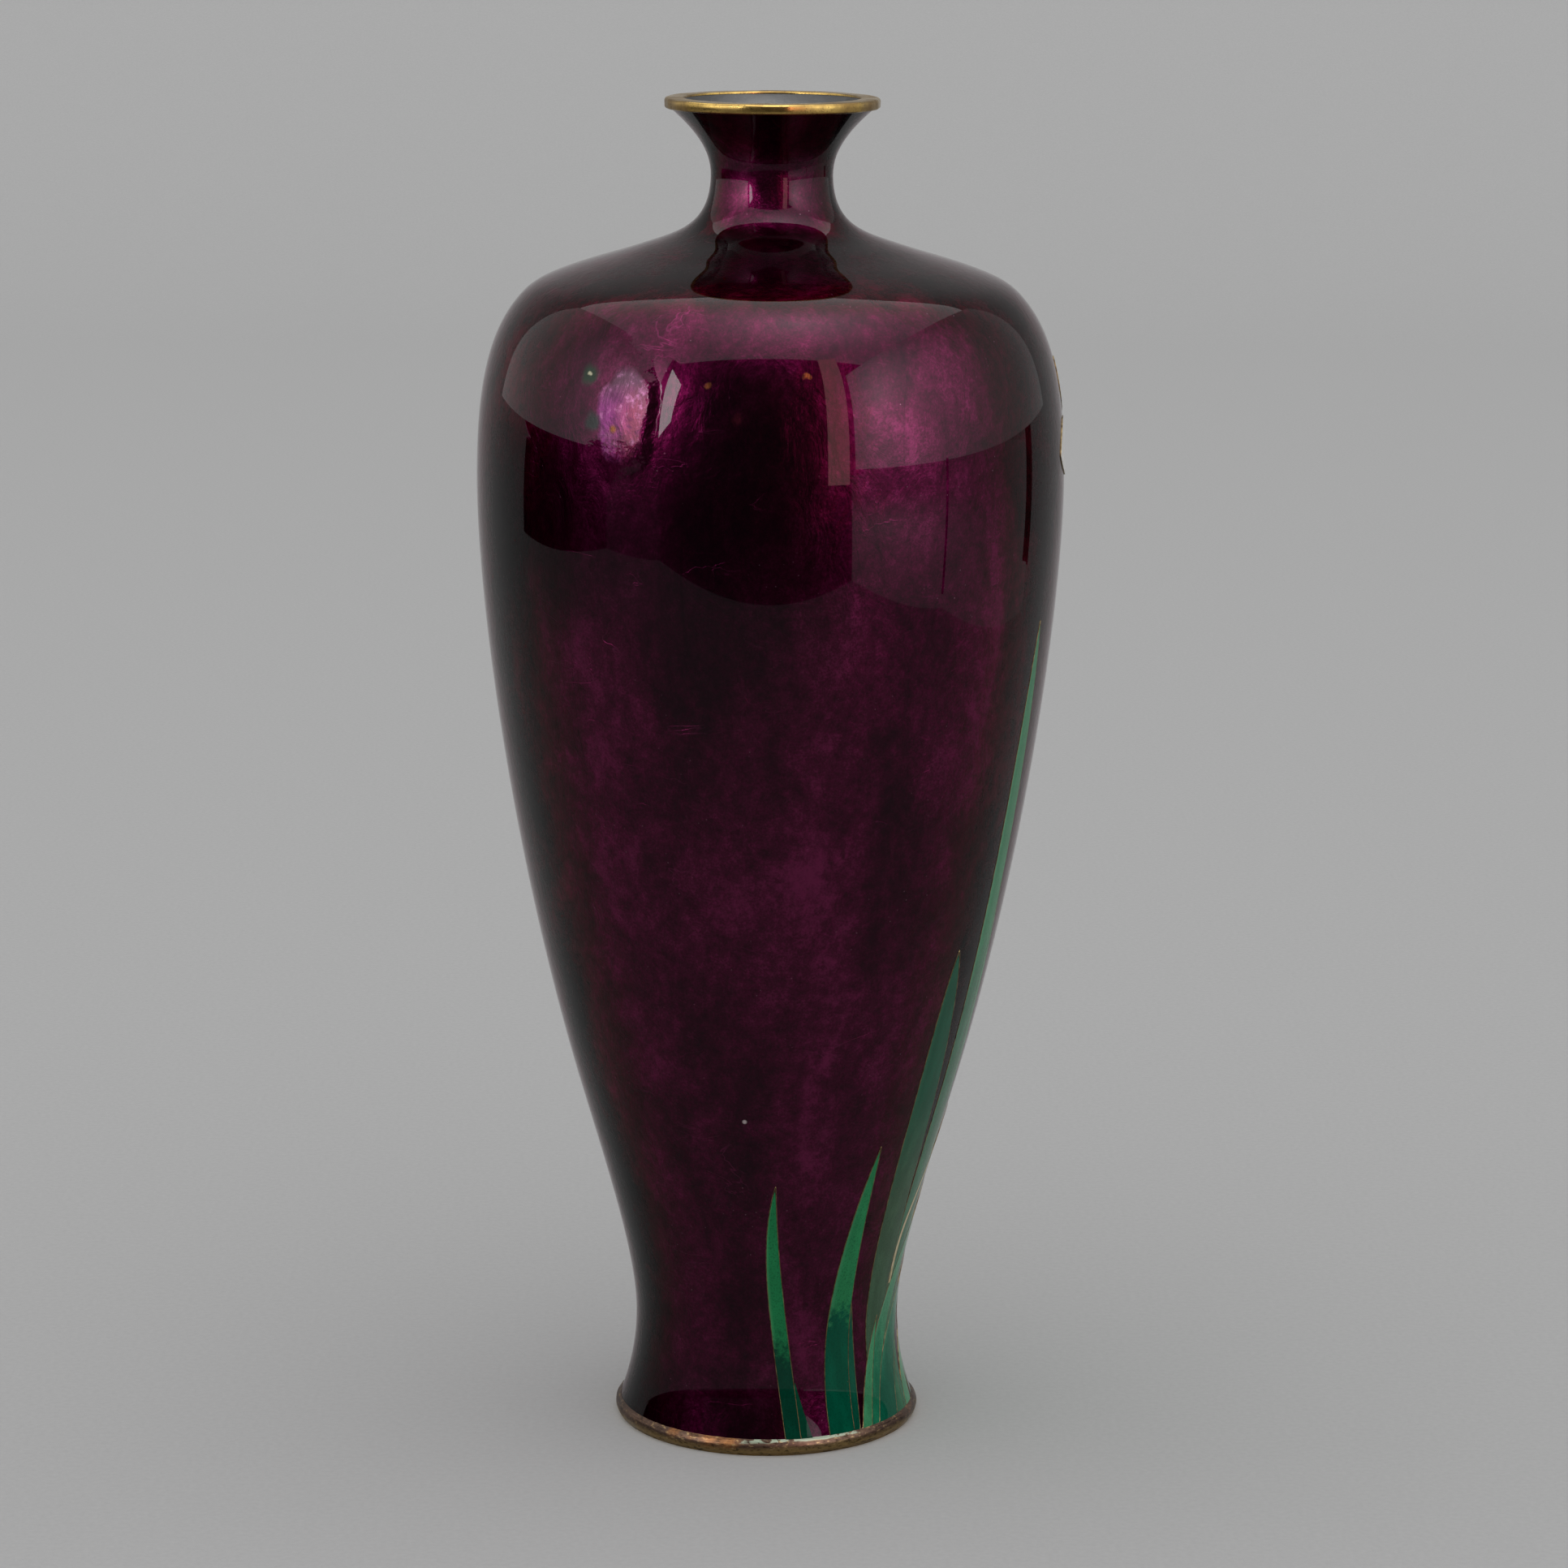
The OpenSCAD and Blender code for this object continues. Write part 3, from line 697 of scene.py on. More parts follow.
def foot_metal():
    """Brown patina with orange patches, gold rubbed through low down with a painted highlight there, and
    a crust at the top.
    """
    mat, t, s = new_material("foot_copper")
    at = coords(t)
    old = use(t, TARNISH, Vector=at, Scale=130.0)
    patch = noise(t, coords(t, (1, 1, 1), (0.4, 0.1, 0)), 75, 4, 0.6)
    uneven = plus(t, split(t, plain(t, "Object"))["Z"], wobble(t, patch, 0.0016))
    # Gold low down: partly rubbed through, partly a painted highlight along the lower band
    rub_and_highlight = span(t, uneven, 0.0009, 0.0019, 1.0, 0.0)
    colour = mix(t, old.outputs["Mask"], FOOT_BROWN, FOOT_DARK)
    colour = mix(t, span(t, patch, 0.57, 0.66), colour, FOOT_ORANGE)
    colour = mix(t, rub_and_highlight, colour, RUBBED_GOLD_AND_HIGHLIGHT)
    flakes = noise(t, coords(t, (1, 1, 2.5)), 900, 4, 0.65)
    colour = mix(t, span(t, flakes, 0.56, 0.68, 0.0, 0.7), colour, GOLD_FLAKE)
    colour = mix(t, span(t, flakes, 0.46, 0.36, 0.0, 0.8), colour, SOOT)
    # Chalky crust where the enamel meets the ring, on the right of the front only
    crust = noise(t, coords(t, (1, 1, 1), (0.1, 0.7, 0)), 420, 4, 0.6, 1.0)
    facing = (math.sin(CRUST_AT) / CRUST_RADIUS, -math.cos(CRUST_AT) / CRUST_RADIUS, 0)
    front = vector_math(t, "DOT_PRODUCT", plain(t, "Object"), facing)
    near = plus(t, front.outputs["Value"], math_node(t, "MULTIPLY_ADD", crust, 0.10, -0.05))
    lumps = times(t, span(t, crust, 0.40, 0.46), span(t, uneven, 0.0024, 0.0027))
    chalk = times(t, span(t, near, 0.925, 0.95), lumps)
    colour = mix(t, chalk, colour, CHALK)
    t.links.new(colour, s.inputs["Base Color"])
    t.links.new(math_node(t, "SUBTRACT", 1.0, chalk), s.inputs["Metallic"])
    t.links.new(span(t, old.outputs["Mask"], 0, 1, 0.3, 0.5), s.inputs["Roughness"])
    t.links.new(bump(t, old.outputs["Height"], 0.4, 0.0002), s.inputs["Normal"])
    return mat


def lining_finish():
    """Grey counter-enamel: cloudy, chipped, with painted shade close under the mouth ring."""
    mat, t, s = new_material("counter_enamel")
    at = coords(t)
    cloud = noise(t, at, 260, 5, 0.6, 0.4)
    colour = ramp(t, cloud, [(0.3, (0.012, 0.012, 0.011)), (0.5, (0.035, 0.034, 0.031)),
                             (0.72, (0.10, 0.098, 0.088))])
    chip = noise(t, at, 700, 5, 0.7)
    # Painted shade: the lining is darkened close under the mouth ring
    painted_shade_under_ring = span(t, split(t, at)["Z"], 0.2424, 0.2434, 0.0, 0.9)
    colour = mix(t, painted_shade_under_ring, colour, (0.012, 0.011, 0.010))
    colour = mix(t, span(t, chip, 0.62, 0.70, 0, 0.8), colour, (0.06, 0.05, 0.045))
    t.links.new(colour, s.inputs["Base Color"])
    gloss(s, 0.4, 0.5, 0.08, 1.3)
    t.links.new(bump(t, chip, 0.35, 0.0003), s.inputs["Normal"])
    return mat


def foil_finish():
    """Silver foil with ridged creases."""
    mat, t, s = new_material("crinkled_foil")
    at = coords(t)
    creases = noise(t, at, 160, 6, 0.6, 1.2, "RIDGED_MULTIFRACTAL")
    silver = ramp(t, creases, [(0.2, (0.62, 0.62, 0.64)), (0.8, (0.84, 0.84, 0.86))])
    t.links.new(silver, s.inputs["Base Color"])
    put(s, Metallic=1.0, Roughness=0.3)
    t.links.new(bump(t, creases, 0.5, 0.0005), s.inputs["Normal"])
    return mat


# ---------------- the iris clump

# Each blade: root, two pulls and tip as (azimuth, height), half width, fullness, loss at the root
BLADES = {
    "short_blade": ([(10.9, 2), (8, 20), (-0.6, 34), (3, 52.4)], 1.5, 5, 0),
    "short_fold": ([(15.5, 2), (14.2, 6), (13, 9), (12.3, 13)], 1.6, 1, 0),
    "middle_blade": ([(31.2, 2), (31.6, 18), (34, 38), (38.8, 58.4)], 2.7, 2.6, 0),
    "middle_fold": ([(37.2, 2), (39.5, 9), (39.9, 17), (38.4, 27)], 1.1, 3, 0),
    "broad_blade": ([(56, 2), (55.8, 35), (54.6, 66), (54.3, 94.8)], 3.8, 6, 0.35),
    "tall_blade": ([(66.5, 2), (70.4, 60), (66, 110), (68.7, 154)], 2.9, 7, 0.2),
    "back_blade": ([(70, 2), (73, 45), (73, 70), (71.2, 107)], 2.6, 3, 0),
    "sliver_blade": ([(43, 2), (47.5, 9), (51.5, 14.5), (56.3, 22.6)], 1.2, 3, 0),
    "leaning_blade": ([(45, 1), (55, 15), (68, 29), (96, 50)], 1.9, 5, 0),
    "drooping_blade": ([(56, 1), (60, 9), (70, 19), (99, 35)], 3.0, 3, 0),
    "low_blade": ([(77, 1), (79, 7), (85, 12), (99, 21)], 2.0, 4, 0),
    "sheath": ([(64, 28), (64.3, 41), (66, 38), (86, 60)], 0.6, 6, 0),
    "side_blade": ([(90, 2), (98, 45), (93, 80), (98, 122)], 2.9, 6, 0.3),
    "far_blade": ([(102, 2), (110, 50), (105, 95), (113, 140)], 3.0, 7, 0.3),
    "rear_blade": ([(115, 2), (118, 35), (124, 60), (131, 100)], 3.0, 6, 0.3),
    "bent_blade": ([(128, 2), (131, 30), (140, 55), (160, 82)], 2.8, 6, 0.2),
    "end_blade": ([(143, 2), (148, 20), (160, 38), (184, 52)], 2.5, 5, 0.2),
    "high_stem": ([(95, 2), (101, 70), (96, 120), (98, 173)], 0.8, 40, 0),
    "low_stem": ([(122, 2), (124, 60), (130, 95), (143, 133)], 0.8, 40, 0),
    "bud_stem": ([(118, 60), (121, 100), (124, 140), (126, 172)], 0.7, 40, 0),
}
# From the back of the clump to the front: each stands a hair proud of the last
LAYERS = ["bud_stem", "low_stem", "high_stem", "end_blade", "far_blade", "bent_blade", "rear_blade",
          "side_blade", "back_blade", "tall_blade", "broad_blade", "sheath", "low_blade",
          "drooping_blade", "leaning_blade", "sliver_blade", "middle_fold", "middle_blade",
          "short_fold", "short_blade"]
LIFT = 0.012
STEP = 0.006
PROUD = 0.003
WIRE = 0.14
CELL_DEPTH = 0.3
SPUR = 0.9
GROUND_LINE = 2.95
TIP_CROWDING = 1.3
TIP_ROUNDING = 0.85
ASIDE = 0.01


def blade_lines(blade, count, inset=0.0, short=0.0):
    """Left and right edges of a blade as (azimuth, height), moved in, and short of the tip, in mm."""
    points, half, fullness, loss = blade
    t = 1 - (1 - np.linspace(0, 1, count)) ** TIP_CROWDING
    reach = 1 - short / np.linalg.norm(np.subtract(points[3], points[0]))
    mid = bend(points, t * reach)
    step = bend(points, np.minimum(t * reach + ASIDE, 1)) - bend(points, np.maximum(t * reach - ASIDE, 0))
    r = at_height(mid[:, 1])[0]
    along = np.stack([np.radians(step[:, 0]) * r, step[:, 1]], 1)
    along /= np.linalg.norm(along, axis=1)[:, None]
    side = np.stack([np.degrees(along[:, 1] / r), -along[:, 0]], 1)
    w = (half - inset) * np.maximum(0, 1 - t ** fullness) ** TIP_ROUNDING * (1 - loss * (1 - t) ** 3)
    return mid - side * w[:, None], mid + side * w[:, None]


def inlay(name, left, right, lift, material, slot, nodes, across=8):
    """A closed piece of enamel between two edges, following the wall."""
    n, m = len(left), across + 1
    f = np.linspace(0, 1, m)[None, :, None]
    flat = left[:, None] * (1 - f) + right[:, None] * f
    flat[:, :, 1] = np.maximum(flat[:, :, 1], GROUND_LINE)
    top = on_skin(flat[..., 0], flat[..., 1], lift).reshape(-1, 3)
    under = on_skin(flat[..., 0], flat[..., 1], -CELL_DEPTH).reshape(-1, 3)
    faces = []
    size = n * m
    for i in range(n - 1):
        for k in range(m - 1):
            a, b, c, d = i * m + k, i * m + k + 1, (i + 1) * m + k + 1, (i + 1) * m + k
            faces.append((a, b, c, d))
            faces.append((size + d, size + c, size + b, size + a))
    rim = [k for k in range(m)] + [i * m + m - 1 for i in range(1, n)]
    rim += [(n - 1) * m + k for k in range(m - 2, -1, -1)] + [i * m for i in range(n - 2, 0, -1)]
    for a, b in zip(rim, rim[1:] + rim[:1]):
        faces.append((b, a, size + a, size + b))
    uv = np.stack(np.meshgrid(np.linspace(0, 1, m), np.linspace(0, 1, n)), -1).reshape(-1, 2)
    obj = piece(name, np.vstack([top, under]), faces, material, nodes, uv=np.vstack([uv, uv]))
    face_out(obj)
    return obj


def skin_normals(azimuth, z):
    nr, nz = at_height(z)[1:]
    a = np.radians(azimuth)
    return np.stack([nr * np.sin(a), -nr * np.cos(a), nz], -1)


def fence(name, lines, lift, material, nodes):
    """Flat wire along lines of (azimuth, height) points; a closed line joins its end to its start."""
    points, vectors, edges = [], [], []
    for line, closed in lines:
        base = len(points)
        z = np.maximum(line[:, 1], GROUND_LINE)
        points += list(on_skin(line[:, 0], z, lift + PROUD - CELL_DEPTH / 2))
        vectors += list(skin_normals(line[:, 0], z))
        edges += [(base + k, base + k + 1) for k in range(len(line) - 1)]
        if closed:
            edges.append((base + len(line) - 1, base))
    sizes = {"Wire width": WIRE * MM, "Wire depth": CELL_DEPTH * MM, "Finish": material}
    obj = grow(name, points, edges, FENCING, sizes, vectors)
    face_out(obj)
    return settle(obj, nodes)


def blade_fence(blade, count):
    left, right = blade_lines(blade, count, WIRE / 2)
    return np.vstack([left, right[-2::-1]]), False


# ---------------- blossoms

# Directions of the petals on the wall, in degrees, and for each kind its length, half width and
# how far its heel stands from the middle
FALLS = [188, 270, 352]
STANDARDS = [60, 120]
FALL = (17, 5.2, 1.6)
STANDARD = (14.5, 4.1, 1.8)
CREST = (6, 1.1 + WIRE, 3.5)
CREST_PROUD = 0.01
PETAL_POINTS = 44


def petal_lines(place, angle, length, half, heel, count, inset):
    """Both edges of a petal, full beyond its middle and a little wavy."""
    t = np.linspace(0, 1, count)
    wide = np.sin(math.pi * t ** 1.2) ** 0.8 * (1 + 0.03 * np.sin(t * 22))
    wide[0] = wide[-1] = 0
    x = heel + 1.5 * inset + t * (length - 3 * inset)
    y = (half - inset) * wide
    a = math.radians(angle)
    edges = []
    for side in (-1, 1):
        u = x * math.cos(a) - side * y * math.sin(a)
        z = place[1] + x * math.sin(a) + side * y * math.cos(a)
        r = at_height(z)[0]
        edges.append(np.stack([place[0] + np.degrees(np.arcsin(np.clip(u / r, -1, 1))), z], 1))
    return edges


def petal_fence(place, angle, length, half, heel, count):
    left, right = petal_lines(place, angle, length, half, heel, count, WIRE / 2)
    return np.vstack([left, right[-2:0:-1]]), True


def join_pieces(name, parts, material, nodes):
    """One piece out of several inlays, each keeping its own UV."""
    pts, faces, uvs, base = [], [], [], 0
    for obj in parts:
        me = obj.data
        co = np.zeros(len(me.vertices) * 3)
        me.vertices.foreach_get("co", co)
        pts.append(co.reshape(-1, 3))
        faces += [tuple(base + v for v in p.vertices) for p in me.polygons]
        uv = np.zeros((len(me.vertices), 2))
        for loop, data in zip(me.loops, me.uv_layers[0].data):
            uv[loop.vertex_index] = data.uv
        uvs.append(uv)
        base += len(me.vertices)
        bpy.data.objects.remove(obj)
    return piece(name, np.vstack(pts), faces, material, nodes, uv=np.vstack(uvs))


def petal_inlays(name, place, angles, length, half, heel, lift, material, slot, nodes):
    parts = []
    for k, angle in enumerate(angles):
        left, right = petal_lines(place, angle, length, half, heel, PETAL_POINTS, WIRE)
        parts.append(inlay(name + "_%d" % k, left, right, lift, material, slot, None, 10))
    return join_pieces(name, parts, material, nodes)


def blossom(label, place, lift, finishes):
    white, pale, yellow, wire = finishes
    petals = (
        ("_fall_petals", "_falls", FALLS, FALL, 0, white, "white_enamel"),
        ("_standard_petals", "_standards", STANDARDS, STANDARD, 0, pale, "white_enamel"),
        ("_crest_marks", "_crests", FALLS, CREST, CREST_PROUD, yellow, "yellow_enamel"))
    for part, node, angles, size, proud, finish, slot in petals:
        petal_inlays(label + part, place, angles, *size, lift + proud, finish, slot, [label + node])
    lines = [petal_fence(place, angle, *FALL, PETAL_POINTS) for angle in FALLS]
    lines += [petal_fence(place, angle, *STANDARD, PETAL_POINTS) for angle in STANDARDS]
    fence(label + "_cell_wires", lines, lift + STEP, wire, [label + "_wires"])


# ---------------- build the vase

GROUND_FOOT = 2.5
TURNS = 256


def make_ground(material):
    outer = np.vstack([LINE[:-1:2], LINE[-1:]])
    inner = inset_line(ENAMEL)[::8][::-1]
    inner = np.clip(inner, [0, GROUND_FOOT], [np.inf, RING_Z])
    return turned("purple_coat", np.vstack([outer, inner]), TURNS, material, ["ground_enamel"])


def make_lining(material):
    back, face = inset_line(WALL - LINING), inset_line(WALL)
    keep = (back[:, 1] > BASE_TOP + 0.6) & (face[:, 1] < RING_Z - 0.2)
    outer, inner = back[keep][::4], face[keep][::4]
    lip = [(MOUTH + 0.38, LIP_Z - 0.02), (MOUTH + 0.06, LIP_Z), (MOUTH - 0.04, LIP_Z - 0.25)]
    floor_r = outer[0, 0]
    under = [(0, BASE_TOP), (floor_r - 0.3, BASE_TOP), (floor_r, BASE_TOP + 0.3)]
    floor = [(inner[0, 0] - 1.2, BASE_TOP + 0.45), (0, BASE_TOP + LINING)]
    section = np.vstack([under, outer, lip, inner[::-1], floor])
    return turned("counter_enamel", section, 160, material, ["lining_enamel"])


def arc(cx, cz, r, start, end, count):
    a = np.radians(np.linspace(start, end, count))
    return np.stack([cx + r * np.cos(a), cz + r * np.sin(a)], 1)


def ripple(angle, *waves):
    """Slight unevenness round the axis, in mm. Each wave is (size, count, start)."""
    return sum(size * np.sin(count * angle + start) for size, count, start in waves)


def round_axis(place):
    return np.arctan2(place[:, 1], place[:, 0]), np.hypot(place[:, 0], place[:, 1])


def moved_out(place, r, shift, raised):
    moved = place.copy()
    moved[:, :2] *= (1 + shift / r)[:, None]
    moved[:, 2] += raised
    return moved


# The mouth ring's radius, and the rounding of its lower, upper and inner edges
RING_R = 19.3
LOW_EDGE, HIGH_EDGE, INNER_EDGE = 0.5, 0.58, 0.3
RING_WEAR = 0.02


def make_mouth_ring(material):
    seat = float(np.interp(RING_Z, inset_line(WALL - LINING)[:, 1], inset_line(WALL - LINING)[:, 0]))
    section = np.vstack([
        [(seat, RING_Z), (RING_R - 1.0, RING_Z)],
        arc(RING_R - LOW_EDGE, RING_Z + LOW_EDGE, LOW_EDGE, -90, -20, 6),
        arc(RING_R - HIGH_EDGE, TOP_Z - HIGH_EDGE, HIGH_EDGE, 0, 80, 8),
        arc(MOUTH + INNER_EDGE, TOP_Z - INNER_EDGE, INNER_EDGE, 90, 180, 5),
        [(MOUTH, LIP_Z), (MOUTH + 0.4, LIP_Z)]])

    def worn(place):
        a, r = round_axis(place)
        dents = ripple(a, (0.03, 7, 1), (0.025, 17, 0), (0.02, 31, 2)) - RING_WEAR
        dips = ripple(a, (0.02, 11, 3)) - RING_WEAR
        return moved_out(place, r, np.where(r > 18.6, dents, 0),
                         np.where((place[:, 2] > 244) & (r > 17), dips, 0))
    return turned("mouth_ring", section, TURNS, material, ["mouth_rim"], worn)


# The foot ring's flat sole, and the middle and radius of its half-round moulding
SOLE = 0.02
MOULDING_R, MOULDING = 26.9, 1.5
FOOT_WEAR = 0.09


def make_foot_ring(material):
    toe = LINE[0] - NORMAL[0] * WALL
    section = np.vstack([
        [(toe[0], 0.4), (26.2, SOLE), (27.6, SOLE)],
        arc(MOULDING_R, MOULDING, MOULDING, -50, 62, 14),
        [LINE[0] + (0.02, 0.02), LINE[0] - NORMAL[0] * ENAMEL, toe]])

    def hammered(place):
        a, r = round_axis(place)
        out = ripple(a, (0.04, 5, 1), (0.03, 13, 0), (0.02, 29, 2)) - FOOT_WEAR
        crust = 0.02 + 0.05 * np.abs(np.sin(19 * a)) * np.abs(np.sin(43 * a + 1))
        return moved_out(place, r, np.where(r > 27.8, out, 0),
                         np.where((place[:, 2] > 2.6) & (r > 27.0), crust, 0))
    return turned("foot_ring", section, TURNS, material, ["foot_rim"], hammered)


ground = purple_ground()
wire = metal("cell_wire", (0.25, 0.19, 0.09), (0.07, 0.045, 0.022), (0.02, 0.013, 0.008), 700.0,
             (0.3, 0.5))
brass = metal("old_brass", (0.41, 0.275, 0.080), (0.17, 0.105, 0.035), SOOT, 170.0, (0.18, 0.40),
              strength=0.2)
copper = metal("bare_copper", (0.65, 0.33, 0.20), (0.38, 0.17, 0.10), (0.12, 0.06, 0.04), 90.0,
               (0.3, 0.55))
foot = foot_metal()
lining = lining_finish()
foil = foil_finish()

GREEN, TEAL = (0.012, 0.185, 0.062), (0.001, 0.075, 0.040)
# Colour of the upper part and the root, height where it changes, colour of one edge, and over
# how many mm it changes
GREENS = {
    "short_blade": (GREEN, (0.001, 0.042, 0.023), 21, (0.07, 0.27, 0.11), 5),
    "short_fold": ((0.003, 0.06, 0.03), (0.002, 0.05, 0.026), 8, (0.02, 0.09, 0.05), 4),
    "middle_blade": ((0.020, 0.20, 0.072), TEAL, 25, (0.06, 0.26, 0.12), 4),
    "middle_fold": ((0.006, 0.09, 0.05), (0.003, 0.07, 0.04), 12, (0.02, 0.12, 0.07), 4),
    "broad_blade": ((0.010, 0.085, 0.046), (0.045, 0.095, 0.052), 56, (0.03, 0.13, 0.07), 20),
    "tall_blade": ((0.035, 0.22, 0.095), (0.03, 0.14, 0.07), 90, (0.10, 0.33, 0.18), 14),
    "back_blade": ((0.05, 0.22, 0.11), (0.03, 0.14, 0.075), 70, (0.12, 0.3, 0.18), 14),
    "sliver_blade": ((0.06, 0.28, 0.13), (0.05, 0.24, 0.11), 12, (0.13, 0.36, 0.19), 4),
    "leaning_blade": ((0.06, 0.26, 0.13), (0.012, 0.15, 0.075), 17, (0.13, 0.35, 0.2), 12),
    "drooping_blade": ((0.016, 0.16, 0.085), (0.004, 0.10, 0.055), 14, (0.07, 0.27, 0.15), 10),
    "low_blade": ((0.08, 0.31, 0.16), (0.06, 0.27, 0.13), 10, (0.14, 0.36, 0.2), 4),
    "sheath": ((0.62, 0.52, 0.32), (0.40, 0.34, 0.18), 32, (0.7, 0.6, 0.4), 4),
}
FINISH = {label: blade_finish(label + "_finish", *values) for label, values in GREENS.items()}
BACK_GREEN = blade_finish("far_side_green", (0.025, 0.22, 0.08), TEAL, 26, (0.09, 0.30, 0.15), 16)
STEM_GREEN = blade_finish("stem_green", (0.07, 0.25, 0.07), (0.03, 0.17, 0.06), 60,
                          (0.15, 0.33, 0.12), 40)
WHITE = petal_finish("petal_white", (0.80, 0.79, 0.76), (0.55, 0.58, 0.50), (0.42, 0.36, 0.55))
LILAC = petal_finish("petal_pale", (0.76, 0.75, 0.78), (0.50, 0.50, 0.56), (0.40, 0.34, 0.56))
YELLOW = petal_finish("crest_yellow", (0.75, 0.50, 0.10), (0.60, 0.34, 0.05), (0.45, 0.22, 0.04))

make_ground(ground)
make_lining(lining)
make_mouth_ring(brass)
make_foot_ring(foot)

slots = {p["node"]: p["material_slot"] for p in frame["record"]["subparts"]}
stem_lines = []
for rank, label in enumerate(LAYERS):
    blade = BLADES[label]
    lift = LIFT + STEP * rank
    count = int(24 + abs(blade[0][3][1] - blade[0][0][1]) * 0.5)
    enamel = label + "_enamel"
    finish = FINISH.get(label) or (STEM_GREEN if "stem" in label else BACK_GREEN)
    fenced = label != "short_fold"
    left, right = blade_lines(blade, count, WIRE if fenced else 0, SPUR if fenced else 0)
    inlay(label, left, right, lift, finish, slots[enamel], [enamel])
    if "stem" in label:
        stem_lines.append(blade_fence(blade, count))
    elif fenced:
        fence(label + "_cell_wire", [blade_fence(blade, count)], lift, wire, [label + "_wire"])
fence("stem_cell_wires", stem_lines, LIFT + STEP * 3, wire, ["stem_wires"])

finishes = (WHITE, LILAC, YELLOW, wire)
FLOWER_LIFT = LIFT + STEP * (len(LAYERS) + 2)
blossom("high_blossom", (98, 185), FLOWER_LIFT, finishes)
blossom("low_blossom", (143, 145), FLOWER_LIFT, finishes)
BUD = ((126, 171), 88, 15, 3, 0, 36)
inlay("bud", *petal_lines(*BUD, WIRE), FLOWER_LIFT, LILAC, "white_enamel", ["bud_enamel"])
fence("bud_cell_wire", [petal_fence(*BUD)], FLOWER_LIFT, wire, ["bud_wire"])

CARRIED = {label: copper for label in ("copper_lower", "copper_upper", "copper_neck", "copper_base")}
CARRIED.update(silver_foil=foil, underside_enamel=lining)
for label, material in CARRIED.items():
    mesh = frame["nodes"][label].data
    mesh.materials.clear()
    mesh.materials.append(material)


# ---------------- studio

PAPER = 0.65
SKY = 0.69
ON_PAPER = 0.002
SHOULDER_Z = 0.19


def paper():
    mat, t, s = new_material("grey_paper")
    grain = noise(t, coords(t), 900, 3)
    tone = ramp(t, grain, [(0.3, (PAPER - 0.02,) * 3), (0.7, (PAPER + 0.02,) * 3)])
    t.links.new(tone, s.inputs["Base Color"])
    put(s, Roughness=0.9, Specular_IOR_Level=0.0)
    return mat


def make_sweep(material):
    """Paper that runs far out on every side and curves up into a wall behind the vase."""
    wide, turn, rise, top = 6.0, 1.7, 1.1, 4.3
    profile = [(y, 0.0) for y in (-wide, -3.0, -1.0, 0.0, 1.0, turn)]
    curve = np.radians(np.arange(5, 91, 5))
    profile += [(turn + rise * math.sin(a), rise * (1 - math.cos(a))) for a in curve]
    profile += [(turn + rise, top)]
    points = [(x, y, z) for y, z in profile for x in (-wide, wide)]
    faces = [(2 * i, 2 * i + 1, 2 * i + 3, 2 * i + 2) for i in range(len(profile) - 1)]
    mesh = bpy.data.meshes.new("paper_sweep")
    mesh.from_pydata(points, [], faces)
    smooth(mesh)
    mesh.materials.append(material)
    add_object("paper_sweep", mesh)


def card(name, corners, dim, bright=None, centre=(0, 0, 0), reach=1.0, tint=(1, 1, 1)):
    """A flat card that is seen only in the vase's gloss. It may be brighter round a centre."""
    mat = bpy.data.materials.new(name)
    mat.use_nodes = True
    t = mat.node_tree
    t.nodes.clear()
    out = t.nodes.new("ShaderNodeOutputMaterial")
    glow = t.nodes.new("ShaderNodeEmission")
    put(glow, Color=(*tint, 1), Strength=dim)
    t.links.new(glow.outputs["Emission"], out.inputs["Surface"])
    if bright is not None:
        far = vector_math(t, "DISTANCE", plain(t, "Object"), centre)
        fall = span(t, far.outputs["Value"], 0.0, reach, 1.0, 0.0)
        fall = times(t, fall, fall)
        t.links.new(span(t, fall, 0.0, 1.0, dim, bright), glow.inputs["Strength"])
    mesh = bpy.data.meshes.new(name)
    mesh.from_pydata(corners, [], [tuple(range(len(corners)))])
    mesh.materials.append(mat)
    obj = add_object(name, mesh)
    obj.visible_camera = obj.visible_diffuse = obj.visible_shadow = False


def toward(azimuth, elevation, distance):
    """A point seen from the vase's shoulder in a direction given in degrees."""
    a, e = math.radians(azimuth), math.radians(elevation)
    return (distance * math.sin(a) * math.cos(e), -distance * math.cos(a) * math.cos(e),
            SHOULDER_Z + distance * math.sin(e))


def upright_card(name, left, right, low, high, distance, glow, tint=(1, 1, 1)):
    card(name, [toward(left, low, distance), toward(right, low, distance),
                toward(right, high, distance), toward(left, high, distance)], glow, tint=tint)


def floor_card(name, corners, *glow):
    card(name, [(x, y, ON_PAPER) for x, y in corners], *glow)


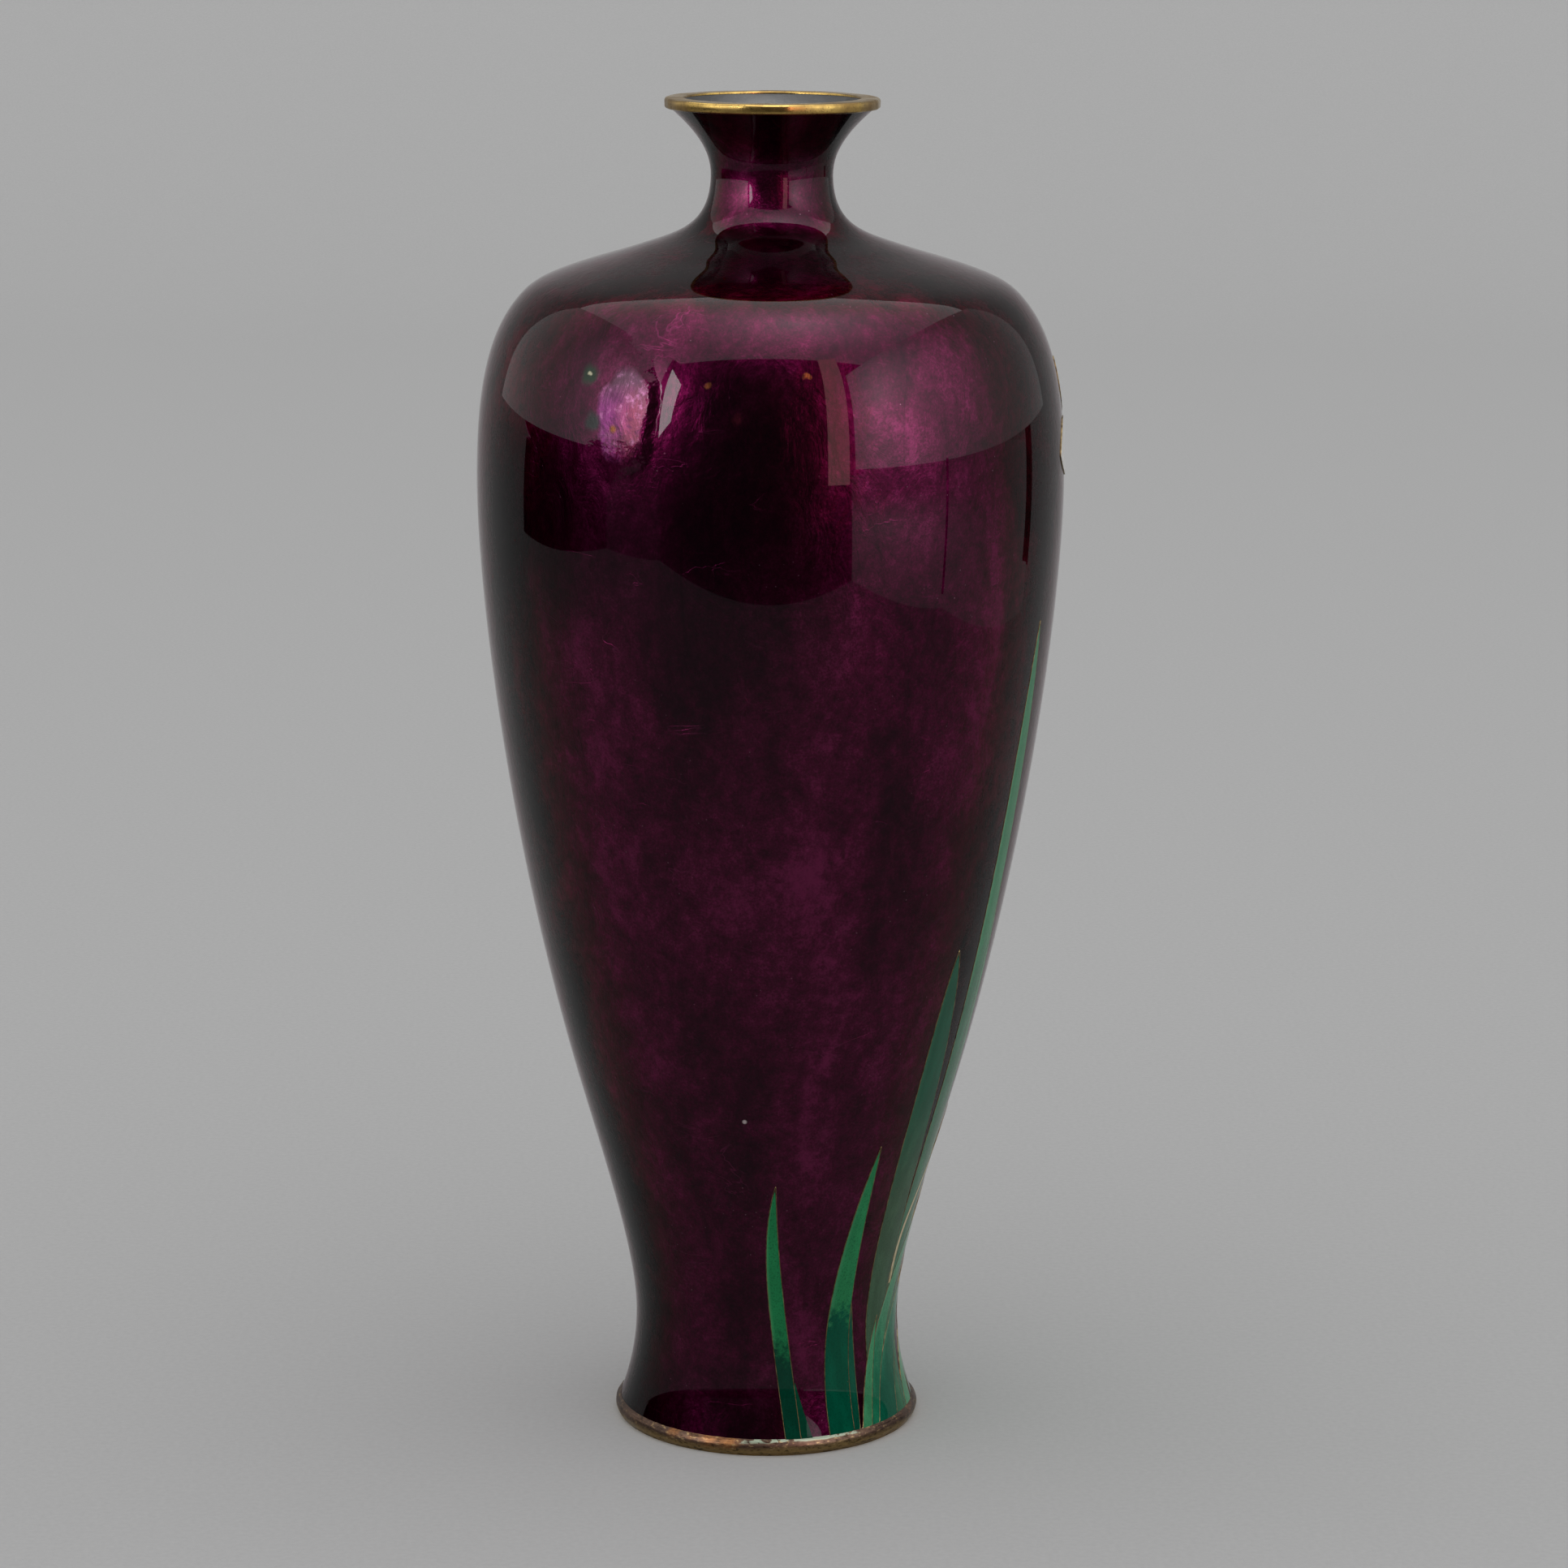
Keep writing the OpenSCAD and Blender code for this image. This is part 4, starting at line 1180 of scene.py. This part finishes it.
def studio():
    """Even light on everything, and cards that only the gloss sees."""
    world = bpy.data.worlds.new("studio")
    bpy.context.scene.world = world
    world.use_nodes = True
    sky = world.node_tree
    lit = sky.nodes["Background"]
    put(lit, Color=(SKY, SKY, SKY, 1))
    # The camera sees the paper's own grey beyond the paper's edge
    seen = sky.nodes.new("ShaderNodeBackground")
    put(seen, Color=(*(SKY * PAPER,) * 3, 1))
    rays = sky.nodes.new("ShaderNodeLightPath")
    either = sky.nodes.new("ShaderNodeMixShader")
    link(sky,
         (rays.outputs["Is Camera Ray"], either.inputs["Fac"]),
         (lit.outputs["Background"], either.inputs[1]),
         (seen.outputs["Background"], either.inputs[2]),
         (either.outputs["Shader"], sky.nodes["World Output"].inputs["Surface"]))
    world.cycles_visibility.glossy = False
    world.cycles_visibility.camera = True
    # A pale tent overhead and at both sides, open towards the camera
    side, top, front, back = 0.5, 0.73, -0.585, 0.395
    card("tent_top", [(-side, front, top), (side, front, top), (side, back, top), (-side, back, top)],
         2.1, 6.6, (0.07, -0.15, top), 0.48)
    card("tent_left", [(-side, -0.5, 0.19), (-side, 0.41, 0.194), (-side, 0.41, top), (-side, -0.5, top)],
         1.1, 7.0, (-side, -0.47, 0.36), 0.57)
    card("tent_right", [(side, -0.8, 0.17), (side, 0.46, 0.177), (side, 0.46, top), (side, -0.8, top)],
         0.75, 6.0, (side, -0.53, 0.43), 0.83)
    # In the opening, a small bright window on the left and a reddish door on the right
    window = ((-41.6, 4.5), (-37.3, 9), (-35.5, 23), (-41.5, 30.5))
    card("window", [toward(azimuth, elevation, 0.5) for azimuth, elevation in window], 17.0)
    upright_card("door", 21, 29, -4, 40, 0.5, 5.2, (1.0, 0.5, 0.48))
    # Beyond the table's edges the room is dark in front and on the left, and dim on the right
    floor_card("dark_room", [(-0.49, -0.55), (-6.3, -7), (4.2, -7), (0.33, -0.55)], 0.06)
    upright_card("far_room", -52, 36, -2, 52, 2.4, 0.08)
    floor_card("left_gap", [(-0.73, -0.35), (-7.1, -3.4), (-6.3, -7), (-0.49, -0.55)], 0.13)
    floor_card("left_block", [(-0.86, 0.3), (-7.1, 2.5), (-7.1, -3.4), (-0.73, -0.35)], 0.005)
    floor_card("right_room", [(0.33, -0.55), (4.2, -7), (7, -7), (7, 3.7), (0.56, 0.3), (0.53, -0.2)],
               0.5, 1.7, (0.75, -0.75, ON_PAPER), 1.1)
    upright_card("right_edge", 115, 119.5, -14, -1.5, 0.8, 0.05, (1.0, 0.5, 0.5))
    upright_card("stand", 68.2, 69.2, -17.5, -1.5, 0.52, 0.02)
    make_sweep(paper())


studio()

LENS = 110.6
EYE = (0.00275, -0.865, 0.303)
LOOKING_DOWN = 11.95
ROLL = 0.31
camera = add_object("camera", bpy.data.cameras.new("camera"))
camera.data.sensor_width = 36
camera.data.lens = LENS
camera.data.clip_start, camera.data.clip_end = 0.05, 50
camera.matrix_world = (Matrix.Translation(EYE)
                       @ Matrix.Rotation(math.radians(90 - LOOKING_DOWN), 4, "X")
                       @ Matrix.Rotation(math.radians(ROLL), 4, "Z"))
bpy.context.scene.camera = camera
bpy.context.scene.view_settings.view_transform = "Standard"
